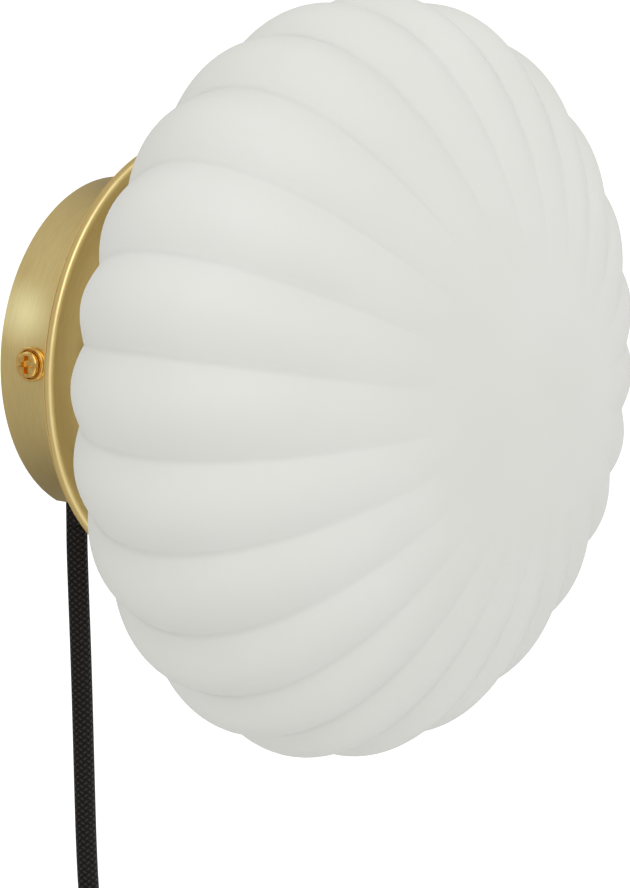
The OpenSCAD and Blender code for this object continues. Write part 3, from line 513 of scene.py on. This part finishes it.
# Cord: its route repeats the source's points, in mm
cord = {
    "x": -21.7, "radius": 3.15, "outletOut": 5.0, "leaves": -50.0, "switchOut": 8.2,
    "switchTop": -196.0, "switchLength": 62.0, "relief": 20.0, "tailLength": 59.5,
    "coilBack": 4.5, "coilStep": 6.9, "coilTurns": 7, "coilInner": 25.2, "sides": 20,
}
cord["switchEnd"] = cord["switchTop"] - cord["switchLength"]
cord["coilOuter"] = cord["coilInner"] + cord["coilStep"] * cord["coilTurns"] / 2
cord["coilX"] = cord["x"] + cord["coilOuter"]
cord["coilZ"] = cord["switchEnd"] - cord["tailLength"] - 2 * cord["radius"]
cord["coilFront"] = cord["coilBack"] + cord["coilStep"]
cord["plugTop"] = cord["coilZ"] - 28.0
cordRound = math.tau * cord["radius"] * mm


def inMetres(points):
    return [tuple(Vector(p) * mm) for p in points]


def dropPoint(out, down):
    return (cord["x"], -out, cord["leaves"] - down)


def tailPoint(out, down):
    return (cord["x"], -out, cord["switchEnd"] - down)


def coilPoint(turn):
    half = cord["coilTurns"] / 2
    r = cord["coilInner"] + cord["coilStep"] * abs(turn - half)
    c = min(1, max(0, 2 * (turn - half) + 0.5))
    out = cord["coilBack"] + cord["coilStep"] * c * c * (3 - 2 * c)
    a = math.pi + math.tau * turn
    return (cord["coilX"] + r * math.cos(a), -out, cord["coilZ"] + r * math.sin(a))


dropRoute = smoothRoute([dropPoint(out, down) for out, down in (
    (5, 0), (5, 8), (5.3, 20), (5.8, 36), (6.2, 52), (6.5, 68), (6.8, 84), (7.1, 97), (7.6, 109),
    (cord["switchOut"], 118))] + [(cord["x"], -cord["switchOut"], cord["switchTop"] + cord["relief"])], 3)
tailRoute = smoothRoute([tailPoint(out, down) for out, down in (
    (cord["switchOut"], 20), (cord["switchOut"], 27), (7.3, cord["tailLength"] * 0.59),
    (5.6, cord["tailLength"] * 0.74), (cord["coilBack"], cord["tailLength"] * 0.89),
    (cord["coilBack"], cord["tailLength"]))], 3)
coilRoute = [coilPoint(i / 48) for i in range(cord["coilTurns"] * 48 + 1)]
endRoute = [(cord["x"], -cord["coilFront"], cord["coilZ"] - down) for down in (6.3, 11, 17, 22, 28)]
cordDropPath = inMetres(dropRoute)
cordTailPath = inMetres(tailRoute + coilRoute + endRoute)

cordDrop = sweepTube("cordDrop", cordDropPath, cord["radius"] * mm, cord["sides"], cordRound)
finished(cordDrop, "lamp_base", "black_textile", blackBraid, "cord_drop")
cordTail = sweepTube("cordTail", cordTailPath, cord["radius"] * mm, cord["sides"], cordRound)
finished(cordTail, "lamp_base", "black_textile", blackBraid, "cord_tail", "cord_coil", "cord_end")
innerRoute = [(cord["x"], -cord["outletOut"], z) for z in (-22, -22.4, -28, -36, -43, cord["leaves"])]
cordInner = sweepTube("cordInner", inMetres(innerRoute), cord["radius"] * mm, cord["sides"], cordRound)
finished(cordInner, "lamp_base", "black_textile", blackBraid, "cord_inner")
print("cords made")


# Glass shade: a sphere drawn out to the bowl, its ribs pressed in, then neck and wall
shade = {
    "radius": 109.8, "half": 61.0, "middle": 92.44, "ribs": 24, "ribDepth": 4.5, "ribTurn": -5.0,
    "wall": 3.5, "lip": 1.1, "neckFront": 37.05, "neckSteps": (0.6, 2.4, 3.7), "columns": 384, "rings": 96,
}


def ease(t):
    t = min(1.0, max(0.0, t))
    return t * t * (3 - 2 * t)


clearSelection()
bpy.ops.mesh.primitive_uv_sphere_add(segments=shade["columns"], ring_count=shade["rings"], radius=1)
glassShade = renamed("glassShade")
for vertex in glassShade.data.vertices:
    x, y, z = vertex.co
    share = math.hypot(x, y)
    angle = math.atan2(y, x)
    groove = 1 - abs(math.cos(shade["ribs"] / 2 * angle))
    fade = ease((share - 0.25) / 0.6)
    if z < 0:
        fade *= ease((share - 0.42) / 0.2)
    r = shade["radius"] * share - shade["ribDepth"] * fade * groove
    turn = angle + math.radians(shade["ribTurn"])
    vertex.co = (r * math.cos(turn) * mm, r * math.sin(turn) * mm,
                 (shade["middle"] + shade["half"] * z) * mm)
activate(glassShade)
bpy.ops.object.mode_set(mode="EDIT")
bpy.ops.mesh.select_all(action="SELECT")
bpy.ops.mesh.bisect(plane_co=(0, 0, shade["neckFront"] * mm), plane_no=(0, 0, -1), clear_outer=True)
bpy.ops.mesh.select_all(action="DESELECT")
bpy.ops.mesh.select_mode(type="EDGE")
bpy.ops.mesh.select_non_manifold(extend=False)
for length in shade["neckSteps"]:
    bpy.ops.mesh.extrude_region_move(TRANSFORM_OT_translate={"value": (0, 0, -length * mm)})
bpy.ops.mesh.select_all(action="SELECT")
bpy.ops.mesh.normals_make_consistent(inside=False)
bpy.ops.object.mode_set(mode="OBJECT")
applied(glassShade, "SOLIDIFY", thickness=shade["wall"] * mm, offset=-1, use_even_offset=False)
bevelled(glassShade, shade["lip"], 3, 62)
place(glassShade, onWall)
activate(glassShade)
bpy.ops.object.shade_smooth()
finished(glassShade, "shade", "opal_glass", opalGlass, "glass_shade")
print("shade made")


# Canopy: a drawn brass cup with a bored front, two side holes and a notch for the cord
canopy = {"radius": 50.0, "depth": 27.5, "wall": 1.2, "edge": 0.7, "bore": 5.05, "sideOut": 12.0,
          "sideTurn": 3.4, "sideHole": 2.15, "notch": 3.3}
canopyInner, canopyFloor = canopy["radius"] - canopy["wall"], canopy["depth"] - canopy["wall"]
canopyDrum = turned("canopyDrum", rounded(
    [(canopyInner, 0), (canopy["radius"], 0), (canopy["radius"], canopy["depth"]),
     (canopy["bore"], canopy["depth"]), (canopy["bore"], canopyFloor), (canopyInner, canopyFloor)],
    [0.15, 0.2, canopy["edge"], 0.1, 0.1, 0.5], 4), 160)
for side in (-1, 1):
    hole = cylinderCutter(canopy["sideHole"], -4, 4)
    place(hole, Matrix.Rotation(math.radians(-canopy["sideTurn"]), 4, "Z")
          @ Matrix.Translation(Vector((side * canopy["radius"], 0, canopy["sideOut"])) * mm)
          @ Matrix.Rotation(math.pi / 2, 4, "Y"))
    cutAway(canopyDrum, hole)
notch = cylinderCutter(canopy["notch"], 0, 60)
place(notch, Matrix.Translation(Vector((cord["x"], 0, cord["outletOut"])) * mm)
      @ Matrix.Rotation(math.pi / 2, 4, "X"))
cutAway(canopyDrum, notch)
cutAway(canopyDrum, boxCutter((2 * canopy["notch"], 60, 2 * cord["outletOut"]), (cord["x"], -30, 0)))
place(canopyDrum, onWall)
smoothed(canopyDrum, 35)
finished(canopyDrum, "lamp_base", "satin_brass", satinBrass, "canopy_drum")

# Dish: a spun plate with a thicker edge that runs out softly into the face
dish = {"radius": 64.3, "back": 27.5, "plate": 1.5, "rimDepth": 2.7, "rimWidth": 2.6, "bore": 5.05,
        "flat": 50.0, "seamUp": 0.25}
front = dish["back"] + dish["plate"]
rimFront = dish["back"] + dish["rimDepth"]
rimIn = dish["radius"] - dish["rimWidth"]
seam = dish["back"] + dish["seamUp"]
shadeDish = turned("shadeDish", rounded([
    (dish["bore"], dish["back"]), (rimIn - 0.5, dish["back"]), (rimIn - 0.2, dish["back"] + 0.3),
    (rimIn + 0.1, dish["back"]), (dish["radius"], dish["back"]), (dish["radius"], seam),
    (dish["radius"] - 0.6, seam + 0.12), (dish["radius"], seam + 0.26), (dish["radius"], rimFront),
    (rimIn + 0.6, rimFront), (dish["flat"], front), (dish["bore"], front)],
    [0.1, 0, 0, 0, 0.1, 0.05, 0, 0.05, 1.3, 9, 20, 0.1], 8), 192)
place(shadeDish, onWall)
smoothed(shadeDish, 40)
finished(shadeDish, "lamp_base", "satin_brass", satinBrass, "shade_dish")
print("canopy and dish made")


# Side screws with a slot and a cross, each in a cup washer, drawn along +Z out of the canopy
sideScrew = {"head": 3.8, "headHeight": 2.2, "base": 0.85, "thread": 2.0, "length": 9.0, "pitch": 0.7,
             "slot": (1.3, 8.0, 0.8), "cross": (1.7, 5.8, 1.9)}
cupWasher = {"radius": 5.05, "height": 1.6, "base": 0.8, "rim": 0.9, "bore": 2.05, "lift": 0.025}


def sidePlace(side):
    return (Matrix.Rotation(math.radians(canopy["sideTurn"]), 4, "Y")
            @ Matrix.Translation(Vector((side * canopy["radius"], -canopy["sideOut"], 0)) * mm)
            @ Matrix.Rotation(side * math.pi / 2, 4, "Y"))


def makeSideScrew(name, side):
    low, high = sideScrew["base"], sideScrew["base"] + sideScrew["headHeight"]
    shank = []
    turns = int((sideScrew["length"] - 1) / sideScrew["pitch"])
    for i in range(2 * turns + 1):
        shank.append((sideScrew["thread"] - (0.35 if i % 2 else 0),
                      low - sideScrew["length"] + 0.6 + i * sideScrew["pitch"] / 2))
    head = sideScrew["head"]
    top = [(head, low), (head, high - 0.7), (head - 0.12, high - 0.42), (head - 0.4, high - 0.18),
           (head - 0.8, high - 0.06), (1.4, high), (0, high)]
    screw = turned(name, [(0, low - sideScrew["length"]), (1.4, low - sideScrew["length"])] + shank
                   + [(sideScrew["thread"] - 0.3, low)] + top, 64)
    bevelled(screw, 0.12, 2, 60)
    w, length, deep = sideScrew["slot"]
    cutAway(screw, boxCutter((w, length, 2 * deep), (0, 0, high)))
    w, length, deep = sideScrew["cross"]
    for size in ((w, length, 2 * deep), (length, w, 2 * deep)):
        cutter = boxCutter(size, (0, 0, high))
        for vertex in cutter.data.vertices:   # the recess narrows towards its floor
            if vertex.co.z < high * mm:
                vertex.co.x *= 0.8
                vertex.co.y *= 0.8
        cutAway(screw, cutter)
    place(screw, sidePlace(side))
    return smoothed(screw, 32)


def makeCupWasher(name, side):
    r, h, b = cupWasher["radius"], cupWasher["height"], cupWasher["base"]
    profile = rounded([(cupWasher["bore"], 0), (r, 0), (r, h), (r - cupWasher["rim"], h),
                       (r - cupWasher["rim"], b), (cupWasher["bore"], b)],
                      [0.05, 0.25, 0.4, 0.4, 0.2, 0.05], 4)
    washer = turned(name, [(x, y + cupWasher["lift"]) for x, y in profile], 64)
    place(washer, sidePlace(side))
    return smoothed(washer, 40)


for side, word in ((-1, "left"), (1, "right")):
    screw = makeSideScrew("sideScrew" + word.title(), side)
    finished(screw, word + "_screw", "polished_brass", polishedBrass, "side_screw_" + word)
    washer = makeCupWasher("cupWasher" + word.title(), side)
    finished(washer, word + "_washer", "polished_brass", polishedBrass, "cup_washer_" + word)
print("side screws made")


# Tapered, ringed strain reliefs of the switch and the plug
relief = {"wide": 4.75, "narrow": 3.65, "length": 20.0, "rings": 5, "groove": 0.55}


def reliefProfile(wide, narrow, length, rings):
    # bore, then the outside from the wide end to the narrow end with shallow ring grooves
    outside = [(wide, 0), (wide, length * 0.16)]
    step = length * 0.72 / rings
    for i in range(rings):
        start = length * 0.16 + i * step
        here = wide + (narrow - wide) * start / length
        outside += [(here, start + 0.05), (here - relief["groove"], start + step * 0.18),
                    (here - relief["groove"], start + step * 0.42), (here - 0.1, start + step * 0.6)]
    outside += [(narrow, length * 0.9), (narrow - 0.15, length)]
    return [(cord["radius"] + 0.02, 0)] + outside + [(cord["radius"] + 0.02, length)]


reliefParts = []
for s in (1, -1):
    part = turned("reliefPart", reliefProfile(relief["wide"], relief["narrow"], relief["length"],
                                              relief["rings"]), 48)
    bevelled(part, 0.12, 2, 50)
    edge = cord["switchTop"] if s == 1 else cord["switchEnd"]
    place(part, Matrix.Translation(Vector((cord["x"], -cord["switchOut"], edge)) * mm)
          @ Matrix.Rotation(0 if s == 1 else math.pi, 4, "X"))
    reliefParts.append(part)
switchReliefs = joined("switchReliefs", reliefParts)
smoothed(switchReliefs, 40)
finished(switchReliefs, "lamp_base", "black_rubber", blackRubber, "switch_reliefs")
plugRelief = turned("plugRelief", reliefProfile(5.4, 3.65, 22.0, 6), 48)
bevelled(plugRelief, 0.12, 2, 50)
place(plugRelief, Matrix.Translation(Vector((cord["x"], -cord["coilFront"], cord["plugTop"] - 22)) * mm))
smoothed(plugRelief, 40)
finished(plugRelief, "lamp_base", "black_rubber", blackRubber, "plug_relief")

# Switch, plug and the small pieces: the CAD shapes with rounded edges
softPieces = [
    ("switchBase", "switch_base", 0.9, 3, "lamp_base", "black_plastic", blackPlastic),
    ("switchCover", "switch_cover", 0.9, 3, "lamp_base", "black_plastic", blackPlastic),
    ("switchRocker", "switch_rocker", 0.5, 3, "rocker", "black_plastic", blackPlastic),
    ("plugBody", "plug_body", 1.6, 4, "lamp_base", "black_plastic", blackPlastic),
    ("coilTie", "coil_tie", 0.2, 2, "lamp_base", "black_rubber", blackRubber),
    ("wallBracket", "wall_bracket", 0.25, 2, "lamp_base", "zinc_steel", zincSteel),
    ("springGallery", "spring_gallery", 0.15, 2, "lamp_base", "spring_steel", springSteel),
    ("lockNut", "lock_nut", 0.35, 2, "lamp_base", "zinc_steel", zincSteel),
    ("toothedWasher", "toothed_washer", 0.1, 2, "lamp_base", "spring_steel", springSteel),
    ("neckGasket", "neck_gasket", 0.25, 3, "lamp_base", "grey_rubber", greyRubber),
    ("holderCap", "holder_cap", 0.4, 3, "lamp_base", "white_moulding", whiteMoulding),
    ("holderSleeve", "holder_sleeve", 0.4, 3, "lamp_base", "white_moulding", whiteMoulding),
    ("holderInsert", "holder_insert", 0.2, 2, "lamp_base", "steatite", steatite),
    ("terminalBlock", "terminal_block", 0.5, 3, "lamp_base", "ivory_nylon", ivoryNylon),
    ("cordClamp", "cord_clamp", 0.4, 2, "lamp_base", "ivory_nylon", ivoryNylon),
    ("blockScrew", "block_screw", 0.12, 2, "lamp_base", "zinc_steel", zincSteel),
    ("clampScrew", "clamp_screw", 0.12, 2, "lamp_base", "zinc_steel", zincSteel),
    ("terminalScrews", "terminal_screws", 0.1, 2, "lamp_base", "zinc_steel", zincSteel),
    ("switchScrews", "switch_screws", 0.12, 2, "lamp_base", "zinc_steel", zincSteel),
]
for name, node, width, segments, body, slotName, material in softPieces:
    finished(softened(name, node, width, segments), body, slotName, material, node)
# The bush shows inside the canopy only: brass reaches up to the cord outside
cordBush = softened("cordBush", "cord_bush", 0)
bushEnd = canopyInner - 0.02
outside = turned("cutter", [(bushEnd, -1), (60, -1), (60, 20), (bushEnd, 20)], 96)
cutAway(cordBush, place(outside, onWall))
finished(smoothed(cordBush), "lamp_base", "black_rubber", blackRubber, "cord_bush")
print("switch, plug and fittings made")


# Bulb: smooth glass, a screw cap with a real thread, and the matching brass shell
bulb = {"capBack": 55.95, "capFront": 72.95, "capRadius": 6.8, "pitch": 2.82, "thread": 0.45,
        "neckRadius": 8.4, "ballRadius": 22.5, "front": 125.85, "wall": 0.8}


def threaded(name, profile, low, high, pitch, depth, steps=72):
    # a turned piece whose rings between two heights follow a helix
    piece = turned(name, profile, steps)
    for vertex in piece.data.vertices:
        x, y, z = vertex.co / mm
        r = math.hypot(x, y)
        if low <= z <= high and r > 1:
            blend = min(1, (z - low) / 1.2, (high - z) / 1.2)
            wave = 0.5 - 0.5 * math.cos(math.tau * z / pitch - math.atan2(y, x))
            r2 = r - depth * blend * wave
            vertex.co.x *= r2 / r
            vertex.co.y *= r2 / r
    return piece


low, high = bulb["capBack"], bulb["capFront"]
threadRings = 60
capSide = [(bulb["capRadius"], low + 0.8 + (high - 3.2 - low) * i / threadRings)
           for i in range(threadRings + 1)]
bulbCap = threaded("bulbCap", [(0, low), (6.0, low), (6.5, low + 0.3)] + capSide
                   + [(6.5, high - 2.2), (7.2, high - 1.5), (bulb["neckRadius"], high), (0, high)],
                   low + 0.8, high - 2.4, bulb["pitch"], bulb["thread"])
place(bulbCap, onWall)
smoothed(bulbCap, 50)
finished(bulbCap, "bulb", "nickel", nickelPlate, "bulb_cap")

ballMiddle = bulb["front"] - bulb["ballRadius"]
outline = [(bulb["neckRadius"], high), (8.7, high + 2), (9.6, high + 6), (12.2, high + 11),
           (17.4, ballMiddle - 14.2)]
for k in range(1, 13):
    a = math.radians(-38 + 128 * k / 12)
    outline.append((bulb["ballRadius"] * math.cos(a), ballMiddle + bulb["ballRadius"] * math.sin(a)))
outline = [tuple(p)[:2] for p in smoothRoute([(r, h, 0) for r, h in outline], 3)]
outline[-1] = (0, bulb["front"])
bulbGlass = turned("bulbGlass", outline, 96, closed=False)
applied(bulbGlass, "SOLIDIFY", thickness=bulb["wall"] * mm, offset=-1, use_even_offset=True)
place(bulbGlass, onWall)
activate(bulbGlass)
bpy.ops.object.shade_smooth()
finished(bulbGlass, "bulb", "clear_glass", clearGlass, "bulb_glass")

shell = {"back": 50.0, "length": 16.0, "bore": 7.1, "sheet": 0.4, "floorHole": 4.5}
low, high = shell["back"], shell["back"] + shell["length"]
outer = shell["bore"] + shell["sheet"]
shellSide = [(outer, low + 0.5 + (high - low - 1) * i / 48) for i in range(49)]
shellBack = [(shell["bore"], h) for r, h in reversed(shellSide)]
screwShell = threaded("screwShell", [(shell["floorHole"], low), (outer - 0.3, low)] + shellSide
                      + [(outer, high), (shell["bore"], high)] + shellBack
                      + [(shell["bore"] - 0.2, low + 0.4), (shell["floorHole"], low + 0.4)],
                      low + 1, high - 1, bulb["pitch"], 0.0)
place(screwShell, onWall)
smoothed(screwShell, 50)
finished(screwShell, "lamp_base", "contact_brass", contactBrass, "screw_shell")

nipple = {"radius": 5.0, "bore": 3.5, "back": 19.1, "length": 18.0, "pitch": 1.0}
low, high = nipple["back"], nipple["back"] + nipple["length"]
nippleSide = [(nipple["radius"], low + 0.3 + (high - low - 0.6) * i / 90) for i in range(91)]
nippleEdge = nipple["radius"] - 0.4
hollowNipple = threaded("hollowNipple", [(nipple["bore"], low), (nippleEdge, low)] + nippleSide
                        + [(nippleEdge, high), (nipple["bore"], high)],
                        low + 0.3, high - 0.3, nipple["pitch"], 0.35, 48)
place(hollowNipple, onWall)
smoothed(hollowNipple, 50)
finished(hollowNipple, "lamp_base", "contact_brass", contactBrass, "hollow_nipple")


# Wires inside the canopy, on the routes of the source
wire = {"radius": 1.0, "out": 8.5, "innerTop": -22.0, "blockLow": 17.0, "blockHigh": 35.0, "pole": 5.0,
        "nippleBack": 19.1, "nippleFront": 37.1, "spigotBack": 42.0}


def feedRoute(side):
    x, top = cord["x"], wire["innerTop"]
    points = [(x + side * 1.4, -5, top + 4), (x + side * 1.5, -5, top + 8),
              (x + 4 + side * 2.5, -5.5, -8), (x + 10 + side * 3, -6.5, 0),
              (side * wire["pole"] - 3, -wire["out"], 9),
              (side * wire["pole"], -wire["out"], wire["blockLow"] - 2),
              (side * wire["pole"], -wire["out"], wire["blockLow"] + 3)]
    return [(x + side * 1.4, -5, top)] + smoothRoute(points, 6)


def lampRoute(side):
    out, top = wire["out"], wire["blockHigh"]
    return smoothRoute([
        (side * wire["pole"], -out, top - 3), (side * wire["pole"], -out, top + 2),
        (side * wire["pole"], -out - 3, top + 6), (side * wire["pole"], -out - 8, top + 5),
        (side * 4, -out - 9.5, top - 4), (side * 2.5, -out - 9, 14), (side * 1.6, -out - 7.5, 5),
        (side * 1.5, -wire["nippleBack"] + 1.4, 0.8), (side * 1.5, -wire["nippleBack"] - 3, 0),
        (side * 1.5, -wire["nippleFront"], 0), (side * 3, -wire["nippleFront"] - 2, 0),
        (side * 4.6, -wire["spigotBack"] + 0.9, 0), (side * 4.6, -wire["spigotBack"] - 1.6, 0)], 5)


for side, name, node, slotName, material in (
        (1, "liveWire", "live_wire", "brown_insulation", brownInsulation),
        (-1, "neutralWire", "neutral_wire", "blue_insulation", blueInsulation)):
    parts = [sweepTube("wirePart", inMetres(route), wire["radius"] * mm, 14, 0.006)
             for route in (feedRoute(side), lampRoute(side))]
    finished(joined(name, parts), "lamp_base", slotName, material, node)
print("bulb, lampholder and wires made")

# CAD nodes whose shape is right get their finish
nodeFinish = {
    "centre_contact": contactBrass, "bulb_contact": nickelPlate, "bulb_insulator": blackGlass,
    "bulb_stem": clearGlass, "bulb_filaments": phosphor, "terminal_barrels": contactBrass,
    "switch_pin": zincSteel, "switch_terminals": contactBrass, "plug_pins": nickelPlate,
    "plug_pin_sleeves": blackPlastic,
}
for node, material in nodeFinish.items():
    nodes[node].data.materials.clear()
    nodes[node].data.materials.append(material)


# Studio: a pale floor well below, a white dome and one soft lamp
studio = {"floorZ": -0.56, "world": 0.88, "floorGlow": 0.34, "paintedWallGlow": 0.475, "paintedHighlightTint": 0.95,
          "lampPlace": (-0.9, -1.1, 1.15), "lampAim": (0, -0.05, 0), "lampSide": 1.5, "lampPower": 7}
clearSelection()
bpy.ops.mesh.primitive_plane_add(size=60, location=(0, 0, studio["floorZ"]))
floor = renamed("studioFloor")
paperWhite, tree, shader = newMaterial("paperWhite", {
    "Base Color": hexColour("#F7F7F7"), "Roughness": 0.9, "Emission Color": hexColour("#FFFFFF"),
    "Emission Strength": studio["floorGlow"]})
floor.data.materials.append(paperWhite)
# A glowing card in the wall's place that only mirrors see: a painted reflection of the lit wall, with a
# painted highlight spot and painted shadow patches that give the brass its glint and shade
paintedLightSpots = {   # place in mm, radius in mm, how much brighter or darker
    "glint": (-56, 21, 17, 0.66), "upperGlow": (-47, 43, 24, 0.09), "side": (-66, -8, 34, -0.07),
    "shadow": (-33, -48, 52, -0.29), "top": (8, 60, 40, -0.23),
}
clearSelection()
bpy.ops.mesh.primitive_plane_add(size=4)
paintedReflectionCard = renamed("paintedReflectionCard")
place(paintedReflectionCard, Matrix.Translation((0, 0.0006, 0)) @ onWall)
paintedReflectionGlow, tree, shader = newMaterial("paintedReflectionGlow", {"Base Color": (0, 0, 0, 1), "Roughness": 1.0})
glow = studio["paintedWallGlow"]
# each spot adds painted light or painted shadow to the card's glow
for x, z, radius, change in paintedLightSpots.values():
    away = addNode(tree, "VectorMath", {"operation": "DISTANCE", 1: (x * mm, 0.0006, z * mm)},
                   {0: objectPoint(tree)}).outputs["Value"]
    spot = addNode(tree, "MapRange", {"interpolation_type": "SMOOTHSTEP", "From Min": 0.0,
                                      "From Max": radius * mm, "To Min": change, "To Max": 0.0},
                   {"Value": away}).outputs["Result"]
    glow = mathNode(tree, "ADD", spot, glow)
tree.links.new(glow, shader.inputs["Emission Strength"])
# the painted highlight turns cool white where the glow is brightest
paintedHighlightCoolness = mathNode(tree, "MULTIPLY", glow, studio["paintedHighlightTint"])
tree.links.new(colourRamp(tree, paintedHighlightCoolness, [(0.45, "#FFFCF6"), (0.85, "#E2EEFF")]),
               shader.inputs["Emission Color"])
paintedReflectionCard.data.materials.append(paintedReflectionGlow)
paintedReflectionCard.visible_camera = False
paintedReflectionCard.visible_diffuse = False
paintedReflectionCard.visible_transmission = False
paintedReflectionCard.visible_shadow = False
floor.visible_glossy = False
floor.visible_diffuse = False
world = bpy.data.worlds.new("studioDome")
bpy.context.scene.world = world
world.use_nodes = True
world.node_tree.nodes["Background"].inputs["Color"].default_value = hexColour("#FFFFFF")
world.node_tree.nodes["Background"].inputs["Strength"].default_value = studio["world"]
lampData = bpy.data.lights.new("keyLamp", "AREA")
lampData.shape = "RECTANGLE"
lampData.size = lampData.size_y = studio["lampSide"]
lampData.energy = studio["lampPower"]
lampData.color = hexColour("#FFFFFF")[:3]
keyLamp = bpy.data.objects.new("keyLamp", lampData)
bpy.context.scene.collection.objects.link(keyLamp)
keyLamp.location = studio["lampPlace"]
lampWay = Vector(studio["lampAim"]) - Vector(studio["lampPlace"])
keyLamp.rotation_euler = lampWay.to_track_quat("-Z", "Y").to_euler()
